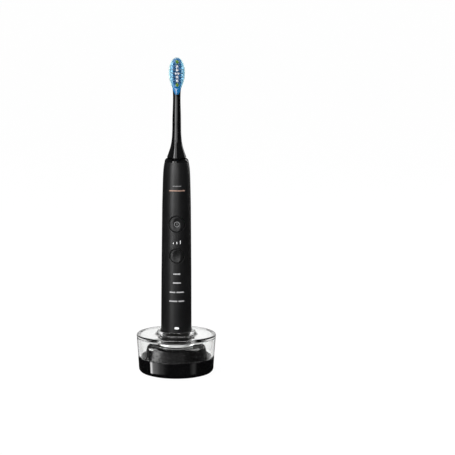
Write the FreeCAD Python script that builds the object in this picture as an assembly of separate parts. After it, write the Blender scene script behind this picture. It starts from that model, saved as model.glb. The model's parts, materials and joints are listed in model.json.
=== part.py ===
# Electric toothbrush that stands in a clear holder on its round charging base.
# Millimetres, +Z up. The buttons and the bristles face -Y. The origin is the middle of the
# base's foot, on the surface that the base stands on.
import FreeCAD, Part
import math
import os

from FreeCAD import Vector

# ---- Clearances between pieces ----
fit_gap = 0.1              # rigid pieces that are put together once
slip_gap = 0.3             # pieces that come apart in use
run_gap = 0.05             # the shaft in its bearings and in the brush head
thread_gap = 0.05          # a screw in the hole that it cuts its thread in
blind_gap = 0.3            # between a screw's end and the end of its hole
plunger_gap = 0.15         # round a switch's plunger
edge_round = 0.4           # small rounded edges
beyond = 60.0              # how far cutting tools reach past what they cut

# ---- Charging base ----
base_height = 14.8
base_rim_radius = 33.5
base_low_radius = 32.7
base_edge_round = 4.2
base_wall = 2.2
base_floor = 2.0
base_inner_round = 1.2
ledge_width = 1.3          # carries the dome's flange
ledge_drop = 2.0           # from the rim down to the ledge
foot_ring_outer = 27.8
foot_ring_width = 2.4
foot_ring_height = 1.6
foot_ring_groove = 1.0     # how deep the ring sits in the base

dome_height = 25.0         # its flat top above the table
dome_foot_inset = 4.3      # from the base's rim in to the dome's foot
dome_lean = 4.0            # from the dome's foot in to its shoulder
dome_shoulder_round = 4.0
dome_wall = 2.0
flange_thickness = 1.6
locating_lip_height = 0.9
locating_lip_width = 1.1

base_screw_count = 3
base_screw_angle = 30.0    # of the first one, from the X axis
base_screw_circle = 22.2
base_screw_radius = 1.5
base_screw_grip = 10.0     # thread length in the dome's boss
base_screw_head_radius = 2.6
base_screw_head_height = 1.9
screw_post_wall = 1.9      # plastic round a screw
screw_post_height = 6.4    # of the base's posts, from its underside
screw_slot_width = 0.9
screw_slot_length = 3.1

cord_height = 7.8          # middle of the cord inlet above the table
cord_bore = 1.7
gland_neck_radius = 3.0
gland_flange_width = 0.9
gland_flange_depth = 1.9
gland_reach = 1.2          # how far it stands out of the base

charger_board_radius = 18.4
charger_board_thickness = 1.6
board_rib_height = 2.4
board_rib_radius = 16.4
board_rib_width = 1.4

coil_outer = 14.3
coil_height = 4.2
bobbin_tube_outer = 7.0
bobbin_tube_wall = 1.0
bobbin_flange = 1.0
bobbin_flange_radius = 15.0
bobbin_skirt_wall = 1.2
core_disc_thickness = 2.0
part_headroom = 1.2        # free height over the tallest part on the charger's board
# Parts on the charger's board: x, y and radius of each capacitor; x, y and sizes of each block
capacitors = ((-7.5, 0.0, 3.4), (4.5, 8.0, 2.4))
charger_blocks = ((8.0, 0.0, 6.0, 6.0, 1.6), (0.0, -8.5, 6.0, 5.2, 3.5))

# ---- Clear holder ----
stand_wall = 2.2
stand_rise = 20.3          # from the base's rim to the holder's rim
stand_rim_radius = 35.1
stand_rim_round = 2.2
stand_land = 3.2           # flat rim
stand_dish_depth = 0.5
dish_edge_round = 0.25
stand_inner_round = 1.2
stand_plate = 2.3
well_lip_rise = 3.1        # the lip round the well above the rim
well_lip_width = 2.1
well_lip_flare = 1.9
well_lip_round = 1.0
well_gap = 0.58            # round the handle
well_wall = 1.9
well_floor = 2.7
well_corner_round = 5.2
well_heel_round = 0.5      # outer corner of the well
dome_gap = 0.2             # between the dome and the well's floor

# ---- Handle casing ----
cap_height = 6.1
cap_round = 6.1
cap_floor = 1.7
cap_wall = 2.5
cap_inner_round = 0.8
spigot_length = 6.4
seal_ring_radius = 0.85    # section of the end cap's O-ring
shell_length = 153.6
handle_wall = 1.8
joint_radius = 13.42
grip_rise = 56.0
grip_radius = 13.15
crest_drop = 42.6          # this and the next drops are measured down from the shell's top
crest_radius = 12.62
shoulder_drop = 23.3
shoulder_radius = 12.2
neck_drop = 9.6
neck_radius = 11.72
bevel_drop = 3.1
bevel_radius = 11.05
shell_top_radius = 10.45
shell_top_wall = 4.3
seal_bore = 6.0
collar_height = 2.6
collar_band = 1.3
collar_draft = 0.25
collar_bevel = 1.3
seal_nose_radius = 3.6
seal_nose_rise = 2.0       # above the collar

# ---- Buttons and lights ----
power_drop = 53.6          # of the upper button
power_cap_radius = 6.55
power_hole_radius = 7.4
level_drop = 81.5          # of the lower button
level_cap_radius = 5.7
level_hole_radius = 6.7
cap_edge = 0.75            # thickness of a button cap at its sides
dish_depth = 0.7
dish_sphere = 25.0
button_stem_radius = 2.0
lug_root = 0.65            # where the lugs start, as a share of the cap's radius
lug_half_width = 2.5
lug_reach = 1.2            # past the edge of the hole
lug_thickness = 0.6
button_seal_depth = 0.8    # below the surface of the handle
button_travel = 0.45
plunger_spare = 0.15       # what the plunger could still sink past the button's travel
plunger_radius = 1.25
plunger_length = 1.0
switch_width = 6.0
switch_height = 1.6
level_bar_drop = 69.3
level_bar_pitch = 3.0
level_bar_width = 0.7
level_bar_heights = (1.7, 2.4, 3.2)
mode_drops = (97.2, 105.1, 113.4, 121.3)
mode_rows = ((6.6,), (7.5,), (5.4, 6.8), (7.6, 5.4))
mode_mark_height = 1.3
mode_mark_gap = 0.8
charge_mark_rise = 8.0     # above the joint of shell and end cap
charge_mark_width = 4.1
charge_mark_height = 2.0
light_gap = 0.5            # from a light to its window
light_size = 1.6
light_height = 0.8

# ---- Inside the handle ----
receiver_tube_outer = 3.8
receiver_tube_wall = 0.8
receiver_flange = 0.8
receiver_radius = 8.0
receiver_coil_outer = 7.6
receiver_disc = 1.6
frame_gap = 0.3            # from the frame and the drive to the shell
frame_front = 6.5          # flat face that carries the board
frame_floor = 2.0
frame_roof = 6.0
frame_web = 4.0            # between battery and upper bay
front_web = 1.85           # between battery and board
battery_radius = 7.0
battery_length = 50.5
battery_gap = 0.15
tab_thickness = 0.4
tab_radius = 5.0
bay_half_width = 6.9
bay_back = 4.0
board_thickness = 1.2
board_end_gap = 0.3
board_screw_radius = 0.8
board_screw_length = 5.0
board_screw_head_radius = 1.5
board_screw_head_height = 0.9
# Parts on the board's back: x, height over the bay's middle, width, height and depth of each
chip_layout = ((0.0, 0.0, 7.0, 7.0, 1.2), (-3.5, 8.5, 4.0, 5.0, 1.0), (3.25, 8.25, 3.5, 3.5, 1.0))
inductor_radius = 2.2
inductor_height = 6.0
inductor_drop = 12.0

# ---- Drive ----
drive_length = 36.0
drive_wall = 0.8
drive_plate = 2.0
end_plate_skirt = 6.7
stator_length = 16.0
stator_ring_width = 1.28
pole_half_width = 2.2
pole_end_gap = 2.0
stator_coil_width = 1.3
stator_coil_depth = 1.8
rotor_gap = 0.3
hub_wall = 0.6
hub_overhang = 1.0
magnet_thickness = 0.8
magnet_angle = 110.0
bearing_wall = 1.15
bearing_flange = 1.2
front_bearing_length = 5.3
rear_bearing_length = 4.0
rear_flange_width = 0.8
rear_flange_thickness = 1.0
drive_screw_offset = 5.4
drive_screw_radius = 0.9
drive_screw_head_radius = 1.4
drive_screw_head_height = 1.4
shaft_radius = 2.0
shaft_end_gap = 0.5
shaft_reach = 26.0         # above the collar
shaft_flat = 1.45          # from the axis to the flat near the tip
shaft_flat_length = 11.0

# ---- Brush head ----
head_gap = 1.0             # over the collar
head_length = 87.1
head_base_radius = 8.6
trumpet_rises = (3.2, 7.3, 11.5)          # heights and radii of the stem's wide foot
trumpet_radii = (7.4, 6.0, 4.95)
stem_waist_rise = 17.9
stem_waist_radius = 4.15
stem_top_rise = 52.0
stem_top_radius = 3.3
stem_length = 56.3
stem_end_radius = 3.35
shaft_tip_gap = 1.0
head_hollow_radius = 6.4
head_hollow_height = 2.4
tag_width = 1.7
tag_thickness = 0.6
clip_wall = 0.75
clip_rise = 5.8            # from the head's foot to the clip
clip_length = 19.0
neck_rise = 4.6            # from the stem's end to the foot of the plate's outline
neck_half_depth = 2.85     # there, from the axis to the front
neck_blend_rise = 5.0      # from there to where the neck has run out in the plate
neck_blend_half = 4.65
plate_foot_half = 3.75     # half widths of the plate from its foot up
plate_flare_half = 4.9
plate_flare_rise = 4.0
plate_shoulder_half = 5.9
plate_shoulder_rise = 8.3
plate_radius = 6.25        # half of the widest part
plate_crown = 12.0         # from the widest part to the top
plate_front = 1.9
plate_back = 2.2
plate_edge_round = 1.5
plate_face_rise = 1.6      # from the foot of its outline to the flat that carries the bristles
rim_width = 0.7
rim_crown = 0.3            # how far the rim stands over the plate's top
rim_proud = 0.4
rim_back_gap = 0.3         # from the rim to the rounded back edge
soft_wall_height = 3.0
soft_wall_width = 0.9
soft_wall_drop = 8.3       # ends of the soft walls below and above the widest part
soft_wall_rise = 6.1
tuft_pitch = 3.2
blue_tuft_offset = 2.75
outer_tuft_offset = 4.75
tuft_radius = 0.95
white_tuft_radius = 1.2
outer_tuft_radius = 0.76
white_steps = (-2.2, -1.2, 0.7, 1.7)     # rows, in tuft pitches above the widest part
blue_steps = (-2.7, -1.7, -0.7, 0.3, 1.3, 2.2)
outer_steps = (-1.6, -0.6, 0.4, 1.3)
white_pair_drop = 0.8
white_pair_offset = 1.15
blue_tuft_length = 10.2
outer_tuft_length = 9.6
white_tuft_length = 9.8
green_tuft_length = 11.2
green_tuft_radius = 1.55
green_tuft_rise = 9.2      # clusters above and below the widest part
green_tuft_drop = 10.5

# ---- Levels worked out from the sizes ----
base_ledge = base_height - ledge_drop
floor_top = foot_ring_height - foot_ring_groove + base_floor
base_underside = foot_ring_height - foot_ring_groove
base_inner_radius = base_rim_radius - base_wall
dome_foot_radius = base_rim_radius - dome_foot_inset
dome_shoulder_radius = dome_foot_radius - dome_lean
flange_top = base_ledge + flange_thickness
flange_radius = base_inner_radius - fit_gap
stand_foot_radius = base_rim_radius - fit_gap
stand_rim = base_height + stand_rise
stand_dish = stand_rim - stand_dish_depth
lip_top = stand_rim + well_lip_rise
well_radius = joint_radius + well_gap
well_bottom = dome_height + dome_gap
handle_foot = well_bottom + well_floor
joint_height = handle_foot + cap_height
shell_top = joint_height + shell_length
collar_top = shell_top + collar_height
head_foot = collar_top + head_gap
head_top = head_foot + head_length
stem_top = head_foot + stem_length
plate_foot = stem_top + neck_rise
plate_middle = head_top - plate_crown - rim_crown
spigot_top = joint_height + spigot_length
frame_low = spigot_top
drive_high = shell_top - shell_top_wall
drive_low = drive_high - drive_length
board_front = frame_front + board_thickness
light_front = board_front + light_height
switch_front = board_front + switch_height
shaft_tip = collar_top + shaft_reach
bearing_bore = shaft_radius + run_gap
bearing_radius = bearing_bore + bearing_wall
power_height = shell_top - power_drop
level_height = shell_top - level_drop

handle_stations = (
    (joint_height, joint_radius),
    (joint_height + grip_rise, grip_radius),
    (shell_top - crest_drop, crest_radius),
    (shell_top - shoulder_drop, shoulder_radius),
    (shell_top - neck_drop, neck_radius),
    (shell_top - bevel_drop, bevel_radius),
    (shell_top, shell_top_radius),
)


# ---- Helpers ----
def disc(radius, low, high, x=0.0, y=0.0):
    """Upright cylinder."""
    return Part.makeCylinder(radius, high - low, Vector(x, y, low))


def ring(outer, inner, low, high, x=0.0, y=0.0):
    """Upright tube."""
    return disc(outer, low, high, x, y).cut(disc(inner, low - 1, high + 1, x, y))


def plug(radius, front, back, x, z):
    """Cylinder along Y, from y = front to y = back."""
    return Part.makeCylinder(radius, back - front, Vector(x, front, z), Vector(0, 1, 0))


def block(x_range, y_range, z_range):
    """Box between the given limits."""
    low = Vector(x_range[0], y_range[0], z_range[0])
    return Part.makeBox(x_range[1] - x_range[0], y_range[1] - y_range[0], z_range[1] - z_range[0], low)


def bar(width, height, front, back, x, z):
    """Bar along Y with round ends, like a pill seen from the front."""
    end = min(width, height) / 2
    run = max(width, height) / 2 - end
    along = Vector(1, 0, 0) if width > height else Vector(0, 0, 1)
    across = Vector(0, 0, 1) if width > height else Vector(1, 0, 0)
    middle = Vector(x, front, z)
    side = along * run
    corners = [middle - side - across * end, middle + side - across * end,
               middle + side + across * end, middle - side + across * end]
    edges = [Part.LineSegment(corners[0], corners[1]),
             Part.Arc(corners[1], middle + side + along * end, corners[2]),
             Part.LineSegment(corners[2], corners[3]),
             Part.Arc(corners[3], middle - side - along * end, corners[0])]
    face = Part.Face(Part.Wire([edge.toShape() for edge in edges]))
    return face.extrude(Vector(0, back - front, 0))


def rounded(corners):
    """Closed wire in the XZ plane. A corner is (x, z), or (x, z, radius) where it is rounded."""
    points = [Vector(corner[0], 0, corner[1]) for corner in corners]
    ends = []
    for index, corner in enumerate(corners):
        here = points[index]
        before = points[index - 1] - here
        after = points[(index + 1) % len(points)] - here
        if len(corner) == 2:
            ends.append((here, None, here))
            continue
        half_angle = before.getAngle(after) / 2
        following = corners[(index + 1) % len(corners)]
        room = [side.Length * (0.49 if len(neighbour) == 3 else 0.999)
                for side, neighbour in ((before, corners[index - 1]), (after, following))]
        reach = min([corner[2] / math.tan(half_angle)] + room)
        radius = reach * math.tan(half_angle)
        before.normalize()
        after.normalize()
        inward = before + after
        inward.normalize()
        middle = here + inward * (radius / math.sin(half_angle) - radius)
        ends.append((here + before * reach, middle, here + after * reach))
    edges = []
    for index, (start, middle, finish) in enumerate(ends):
        if middle is not None:
            edges.append(Part.Arc(start, middle, finish).toShape())
        following = ends[(index + 1) % len(ends)][0]
        edges.append(Part.LineSegment(finish, following).toShape())
    return Part.Wire(edges)


def turned(corners):
    """Solid of revolution about Z from rounded corners (radius, height)."""
    return Part.Face(rounded(corners)).revolve(Vector(0, 0, 0), Vector(0, 0, 1), 360)


def turned_curve(stations, straight_spans=0):
    """Solid of revolution through (height, radius) stations: straight spans, then a smooth curve."""
    points = [Vector(radius, 0, height) for height, radius in stations]
    bend = points[straight_spans:]
    curve = Part.BSplineCurve()
    if straight_spans:
        start = (bend[0] - points[straight_spans - 1]).normalize()
        finish = (bend[-1] - bend[-2]).normalize()
        curve.interpolate(Points=bend, InitialTangent=start, FinalTangent=finish)
    else:
        curve.interpolate(bend)
    corners = [points[-1], Vector(0, 0, points[-1].z), Vector(0, 0, points[0].z)]
    corners += points[:straight_spans + 1]
    sides = [Part.LineSegment(start, finish).toShape() for start, finish in zip(corners, corners[1:])]
    face = Part.Face(Part.Wire([curve.toShape()] + sides))
    return face.revolve(Vector(0, 0, 0), Vector(0, 0, 1), 360)


def screw(seat, way, radius, length, head_radius, head_height):
    """Screw whose head presses on a face at seat and whose shank runs the given way."""
    head = Part.makeCylinder(head_radius, head_height, seat - way * head_height, way)
    shank = Part.makeCylinder(radius, length + head_height / 2, seat - way * (head_height / 2), way)
    return fused([head, shank])


def around(shape, count, first_angle=0.0):
    """Copies of a shape, evenly spaced about Z."""
    copies = []
    for index in range(count):
        copy = shape.copy()
        copy.rotate(Vector(0, 0, 0), Vector(0, 0, 1), first_angle + index * 360.0 / count)
        copies.append(copy)
    return copies


def mirrored(shape):
    """The shape and its mirror image across X = 0."""
    return [shape, shape.mirror(Vector(0, 0, 0), Vector(1, 0, 0))]


def fused(shapes):
    """One solid from overlapping shapes."""
    whole = shapes[0].fuse(list(shapes[1:])) if len(shapes) > 1 else shapes[0]
    return whole.removeSplitter()


def save(node, *shapes):
    """Write the node's solids to parts/ and print what was written."""
    solids = [solid for shape in shapes for solid in shape.Solids]
    whole = solids[0] if len(solids) == 1 else Part.Compound(solids)
    whole.exportStep(f"parts/{node}.step")
    state = "ok" if whole.isValid() else "NOT VALID"
    print(f"{node}: {len(solids)} solids, {whole.Volume:.1f} mm3, {state}")


def handle_radius(height):
    """Outer radius of the handle at a height, on straight lines between the stations."""
    for (low, low_radius), (high, high_radius) in zip(handle_stations, handle_stations[1:]):
        if low <= height <= high:
            share = (height - low) / (high - low)
            return low_radius + (high_radius - low_radius) * share
    return handle_stations[0][1] if height < handle_stations[0][0] else handle_stations[-1][1]


def room_radius(low, high):
    """Largest radius that stays clear of the shell between two heights."""
    heights = [low, high] + [height for height, _ in handle_stations if low < height < high]
    return min(handle_radius(height) for height in heights) - handle_wall - frame_gap


# ---- Charging base ----
def charging_base():
    """Bowl with a ledge for the dome, a groove for the foot ring and three screw posts."""
    inner = base_inner_radius - ledge_width
    bowl = turned([(0, base_underside), (base_low_radius, base_underside, base_edge_round),
                   (base_rim_radius, base_height, edge_round), (base_inner_radius, base_height),
                   (base_inner_radius, base_ledge), (inner, base_ledge),
                   (inner, floor_top, base_inner_round), (0, floor_top)])
    post_radius = base_screw_radius + fit_gap + screw_post_wall
    post_top = base_underside + screw_post_height
    posts = around(disc(post_radius, base_underside + base_floor / 2, post_top, base_screw_circle),
                   base_screw_count, base_screw_angle)
    rib = ring(board_rib_radius + board_rib_width, board_rib_radius,
               floor_top - base_floor / 2, floor_top + board_rib_height)
    head_hole = disc(base_screw_head_radius + 2 * fit_gap, base_underside - 1,
                     base_screw_seat(), base_screw_circle)
    shank_hole = disc(base_screw_radius + fit_gap, 0, post_top + 1, base_screw_circle)
    groove = ring(foot_ring_outer + fit_gap, foot_ring_outer - foot_ring_width - fit_gap,
                  base_underside - 1, foot_ring_height)
    inlet = plug(gland_neck_radius, 0, base_rim_radius + beyond, 0, cord_height)
    bowl = fused([bowl, rib] + posts)
    holes = [copy for hole in (head_hole, shank_hole)
             for copy in around(hole, base_screw_count, base_screw_angle)]
    return bowl.cut(holes + [groove, inlet])


def base_screw_seat():
    """Height of the face that the base screws' heads press on."""
    return base_underside + screw_post_height - screw_post_wall - fit_gap


def charging_dome():
    """Black dome over the coil, with its flange, the lip that centres the holder, and bosses."""
    inner_foot = dome_foot_radius - dome_wall
    inner_shoulder = dome_shoulder_radius - dome_wall
    shell = turned([(flange_radius, base_ledge), (flange_radius, flange_top),
                    (dome_foot_radius, flange_top, edge_round),
                    (dome_shoulder_radius, dome_height, dome_shoulder_round), (0, dome_height),
                    (0, dome_height - dome_wall),
                    (inner_shoulder, dome_height - dome_wall, dome_shoulder_round - dome_wall),
                    (inner_foot, base_ledge)])
    lip_outer = stand_foot_radius - stand_wall - slip_gap
    lip_top_height = flange_top + locating_lip_height
    lip = turned([(lip_outer, flange_top - flange_thickness / 2), (lip_outer, lip_top_height, edge_round),
                  (lip_outer - locating_lip_width, lip_top_height, edge_round),
                  (lip_outer - locating_lip_width, flange_top - flange_thickness / 2)])
    post_top = base_underside + screw_post_height
    boss_radius = base_screw_radius + thread_gap + screw_post_wall
    boss = disc(boss_radius, post_top, dome_height - dome_wall / 2, base_screw_circle)
    outline = turned([(0, post_top - 1), (dome_foot_radius, post_top - 1), (dome_foot_radius, flange_top),
                      (dome_shoulder_radius, dome_height, dome_shoulder_round), (0, dome_height)])
    bosses = [copy.common(outline) for copy in around(boss, base_screw_count, base_screw_angle)]
    hole = disc(base_screw_radius + thread_gap, post_top - 1, post_top + base_screw_grip + blind_gap,
                base_screw_circle)
    return fused([shell, lip] + bosses).cut(around(hole, base_screw_count, base_screw_angle))


def base_screws():
    """Screws from below into the dome's bosses, with a cross slot in each head."""
    seat = base_screw_seat()
    length = base_underside + screw_post_height - seat + base_screw_grip
    body = screw(Vector(base_screw_circle, 0, seat), Vector(0, 0, 1), base_screw_radius, length,
                 base_screw_head_radius, base_screw_head_height)
    low = seat - base_screw_head_height
    depth = (low - 1, low + base_screw_head_height / 2)
    reach = screw_slot_length / 2
    half = screw_slot_width / 2
    slots = [block((base_screw_circle - reach, base_screw_circle + reach), (-half, half), depth),
             block((base_screw_circle - half, base_screw_circle + half), (-reach, reach), depth)]
    return around(body.cut(slots), base_screw_count, base_screw_angle)


def cord_gland():
    """Rubber bush in the rear wall, with the bore that the cord passes through."""
    wall_inner = base_inner_radius - ledge_width
    share = (cord_height - base_underside) / (base_height - base_underside)
    wall_outer = base_low_radius + (base_rim_radius - base_low_radius) * share
    flange_radius_y = gland_neck_radius + gland_flange_width
    wall_middle = (wall_inner + wall_outer) / 2
    front = wall_inner - gland_flange_depth
    neck = plug(gland_neck_radius, front, wall_outer + gland_reach, 0, cord_height)
    inner_flange = plug(flange_radius_y, front, wall_middle, 0, cord_height)
    inner_flange = inner_flange.common(disc(wall_inner, 0, base_height))
    collar = plug(flange_radius_y, wall_middle, wall_outer + gland_reach, 0, cord_height)
    outside = turned([(0, base_underside), (base_low_radius, base_underside, base_edge_round),
                      (base_rim_radius, base_height, edge_round), (0, base_height)])
    gland = fused([neck, inner_flange, collar.cut(outside)])
    return gland.cut(plug(cord_bore, 0, base_rim_radius + beyond, 0, cord_height))


def charger_inside():
    """Board, parts on it, coil former, ferrite core and coil, stacked under the dome's top."""
    board_low = floor_top + board_rib_height
    board_top = board_low + charger_board_thickness
    bobbin_top = dome_height - dome_wall
    coil_high = bobbin_top - bobbin_flange
    coil_low = coil_high - coil_height
    disc_high = coil_low - bobbin_flange
    disc_low = disc_high - core_disc_thickness
    skirt_inner = bobbin_flange_radius + fit_gap
    skirt_outer = skirt_inner + bobbin_skirt_wall
    tube_inner = bobbin_tube_outer - bobbin_tube_wall
    bobbin = fused([ring(skirt_outer, skirt_inner, board_top, disc_high),
                    ring(skirt_outer, tube_inner, disc_high, coil_low),
                    ring(bobbin_tube_outer, tube_inner, disc_high, bobbin_top),
                    ring(bobbin_flange_radius, tube_inner, coil_high, bobbin_top)])
    core = fused([disc(bobbin_flange_radius, disc_low, disc_high),
                  disc(tube_inner - fit_gap, disc_high - core_disc_thickness / 2,
                       bobbin_top - bobbin_flange / 2)])
    coil = ring(coil_outer, bobbin_tube_outer, coil_low, coil_high)
    board = disc(charger_board_radius, board_low, board_top)
    part_top = disc_low - part_headroom
    parts = [disc(radius, board_top, part_top, x, y) for x, y, radius in capacitors]
    parts += [block((x - width / 2, x + width / 2), (y - depth / 2, y + depth / 2),
                    (board_top, board_top + height))
              for x, y, width, depth, height in charger_blocks]
    save("coil_bobbin", bobbin)
    save("coil_core", core)
    save("primary_coil", coil)
    save("charger_board", board)
    save("charger_parts", *parts)


# ---- Clear holder ----
def clear_stand():
    """Clear ring over the dome, with the well that the handle stands in."""
    rim_inner = stand_rim_radius - stand_land
    underside = stand_dish - stand_plate
    lip_outer = well_radius + well_lip_width
    return turned([(stand_foot_radius, base_height, edge_round),
                   (stand_rim_radius, stand_rim, stand_rim_round),
                   (rim_inner, stand_rim, dish_edge_round),
                   (rim_inner - stand_dish_depth, stand_dish, dish_edge_round),
                   (lip_outer + well_lip_flare, stand_dish, well_lip_flare),
                   (lip_outer, lip_top, well_lip_round),
                   (well_radius, lip_top, well_lip_round),
                   (well_radius, handle_foot, well_corner_round),
                   (0, handle_foot),
                   (0, well_bottom),
                   (well_radius + well_wall, well_bottom, well_heel_round),
                   (well_radius + well_wall, underside, stand_inner_round),
                   (stand_rim_radius - stand_wall, underside, stand_inner_round),
                   (stand_foot_radius - stand_wall, base_height)])


# ---- Handle casing ----
def handle_body(offset):
    """Solid inside the handle's surface, a given distance within it."""
    return turned_curve([(height, radius - offset) for height, radius in handle_stations], 2)


def end_cap():
    """Round foot of the handle with the spigot that closes the shell."""
    spigot = joint_radius - handle_wall - fit_gap
    inner = spigot - cap_wall
    groove_middle = joint_height + spigot_length / 2
    groove_half = seal_ring_radius + run_gap
    groove = ring(spigot + 1, joint_radius - handle_wall - 2 * seal_ring_radius - 2 * run_gap,
                  groove_middle - groove_half, groove_middle + groove_half)
    cap = turned([(0, handle_foot), (joint_radius, handle_foot, cap_round), (joint_radius, joint_height),
                  (spigot, joint_height), (spigot, spigot_top, edge_round), (inner, spigot_top),
                  (inner, handle_foot + cap_floor, cap_inner_round), (0, handle_foot + cap_floor)])
    seal_middle = joint_radius - handle_wall - seal_ring_radius - run_gap
    seal = Part.makeTorus(seal_middle, seal_ring_radius, Vector(0, 0, groove_middle))
    save("end_cap", cap.cut(groove))
    save("end_seal", seal)


def window_bars(front, back):
    """Bars along Y through every light window: level marks, mode marks and the charge mark."""
    level_low = shell_top - level_bar_drop - max(level_bar_heights) / 2
    levels = [bar(level_bar_width, height, front, back, (index - 1) * level_bar_pitch,
                  level_low + height / 2)
              for index, height in enumerate(level_bar_heights)]
    modes = []
    for drop, widths in zip(mode_drops, mode_rows):
        x = -(sum(widths) + mode_mark_gap * (len(widths) - 1)) / 2
        for width in widths:
            modes.append(bar(width, mode_mark_height, front, back, x + width / 2, shell_top - drop))
            x += width + mode_mark_gap
    charge = bar(charge_mark_width, charge_mark_height, front, back, 0, joint_height + charge_mark_rise)
    return levels, modes, [charge]


def handle_shell(outer, inner):
    """Black shell with two button holes and the light windows; its thick top carries the seal."""
    shell = outer.cut(inner.common(disc(joint_radius, joint_height, drive_high)))
    levels, modes, charge = window_bars(-beyond, 0)
    holes = [plug(power_hole_radius, -beyond, 0, 0, power_height),
             plug(level_hole_radius, -beyond, 0, 0, level_height),
             disc(seal_bore, drive_high - 1, shell_top + 1)]
    for tool in holes + levels + modes + charge:
        shell = shell.cut(tool)
    return shell


def light_windows(outer):
    """Clear windows, flush with the handle, that lead the light in from the board."""
    for node, bars in zip(("level_windows", "mode_windows", "charge_window"),
                          window_bars(-beyond, -light_front - light_gap)):
        save(node, *[shape.common(outer) for shape in bars])


def top_collar():
    """Glossy ring that ends the handle under the brush head."""
    return turned([(seal_nose_radius + fit_gap, shell_top), (shell_top_radius, shell_top),
                   (shell_top_radius - collar_draft, shell_top + collar_band, edge_round),
                   (shell_top_radius - collar_bevel, collar_top, edge_round),
                   (seal_nose_radius + fit_gap, collar_top)])


def shaft_seal():
    """Rubber boot round the shaft, held between the shell and the collar."""
    bore = bearing_bore + run_gap
    nose_top = collar_top + seal_nose_rise
    return turned([(bore, drive_high), (seal_bore, drive_high), (seal_bore, shell_top),
                   (seal_nose_radius, shell_top), (seal_nose_radius, nose_top, 2 * edge_round),
                   (bore, nose_top)])


# ---- Buttons ----
def button(name, height, cap_radius, hole_radius, outer):
    """Dished cap with its stem and two lugs that stop behind the shell, and the switch's plunger."""
    radius = handle_radius(height)
    inner_radius = radius - handle_wall
    underside = -(math.sqrt(radius ** 2 - cap_radius ** 2) - cap_edge)
    stem_end = -(switch_front + button_travel + plunger_spare)
    dish = Part.makeSphere(dish_sphere, Vector(0, -(radius - dish_depth + dish_sphere), height))
    cap = plug(cap_radius, -beyond, underside, 0, height).common(outer).cut(dish)
    stem = plug(button_stem_radius, underside - cap_edge / 2, stem_end, 0, height)
    column = plug(cap_radius, -radius, 0, 0, height)
    lug_front = -(math.sqrt(inner_radius ** 2 - lug_half_width ** 2) - slip_gap)
    lug_back = lug_front + lug_thickness
    root = cap_radius * lug_root
    pieces = [cap, stem]
    for way in (-1, 1):
        reach = sorted((height + way * root, height + way * (hole_radius + lug_reach)))
        web = sorted((height + way * root, height + way * (cap_radius - fit_gap)))
        pieces.append(block((-lug_half_width, lug_half_width), (lug_front, lug_back), reach))
        pieces.append(block((-lug_half_width, lug_half_width),
                            (min(underside, lug_front) - cap_edge / 2, lug_back), web).common(column))
    save(f"{name}_button", fused(pieces).cut(dish))
    save(f"{name}_plunger", plug(plunger_radius, stem_end, stem_end + plunger_length, 0, height))


def button_seal(height, cap_radius, hole_radius):
    """Rubber ring that fills the groove round a button, a little below the surface."""
    radius = handle_radius(height)
    rim = plug(hole_radius, -radius, 0, 0, height).cut(
        plug(cap_radius + fit_gap, -beyond, beyond, 0, height))
    low = height - hole_radius - 1
    high = height + hole_radius + 1
    return rim.common(ring(radius - button_seal_depth, radius - handle_wall, low, high))


# ---- Inside the handle ----
def receiver():
    """Coil former, coil and ferrite in the foot of the handle, which take the power up."""
    low = handle_foot + cap_floor
    high = joint_height
    tube_inner = receiver_tube_outer - receiver_tube_wall
    bobbin = fused([ring(receiver_tube_outer, tube_inner, low, high),
                    ring(receiver_radius, tube_inner, low, low + receiver_flange),
                    ring(receiver_radius, tube_inner, high - receiver_flange, high)])
    coil = ring(receiver_coil_outer, receiver_tube_outer, low + receiver_flange, high - receiver_flange)
    core = fused([disc(tube_inner - fit_gap, low, high + receiver_disc / 2),
                  disc(receiver_radius, high, high + receiver_disc)])
    save("receiver_bobbin", bobbin)
    save("receiver_coil", coil)
    save("receiver_core", core)


def chassis():
    """Frame with a cradle for the battery and a bay for the board's parts, and what it carries."""
    radius = room_radius(frame_low, drive_low)
    battery_low = frame_low + frame_floor + tab_thickness
    battery_high = battery_low + battery_length
    cradle = battery_radius + battery_gap
    battery_y = -frame_front + front_web + cradle
    bay_low = battery_high + tab_thickness + frame_web
    bay_high = drive_low - frame_roof
    board_screw_heights = (bay_low - frame_web / 2, drive_low - frame_roof / 2)
    cradle_span = (battery_low - tab_thickness, battery_high + tab_thickness)
    frame = disc(radius, frame_low, drive_low).cut([
        block((-radius, radius), (-radius, -frame_front), (frame_low, drive_low)),
        disc(cradle, cradle_span[0], cradle_span[1], 0, battery_y),
        block((-cradle, cradle), (battery_y, radius + 1), cradle_span),
        block((-bay_half_width, bay_half_width), (-radius, bay_back), (bay_low, bay_high))])
    pilot_end = -board_front + board_screw_length + blind_gap
    pilots = [plug(board_screw_radius + thread_gap, -frame_front - 1, pilot_end, 0, height)
              for height in board_screw_heights]
    drive_holes = [disc(drive_screw_radius + fit_gap, bay_high - 1, drive_low + 1, x)
                   for x in (-drive_screw_offset, drive_screw_offset)]
    save("inner_frame", frame.cut(pilots + drive_holes))
    save("battery", disc(battery_radius, battery_low, battery_high, 0, battery_y))
    save("battery_tabs", disc(tab_radius, battery_low - tab_thickness, battery_low, 0, battery_y),
         disc(tab_radius, battery_high, battery_high + tab_thickness, 0, battery_y))
    save("frame_screws", *[screw(Vector(0, -board_front, height), Vector(0, 1, 0), board_screw_radius,
                                 board_screw_length, board_screw_head_radius, board_screw_head_height)
                           for height in board_screw_heights])
    save("drive_screws", *[screw(Vector(x, 0, bay_high), Vector(0, 0, 1), drive_screw_radius,
                                 frame_roof + drive_plate, drive_screw_head_radius,
                                 drive_screw_head_height)
                           for x in (-drive_screw_offset, drive_screw_offset)])
    circuit_board(radius, board_screw_heights)
    board_chips((bay_low + bay_high) / 2)


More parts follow.
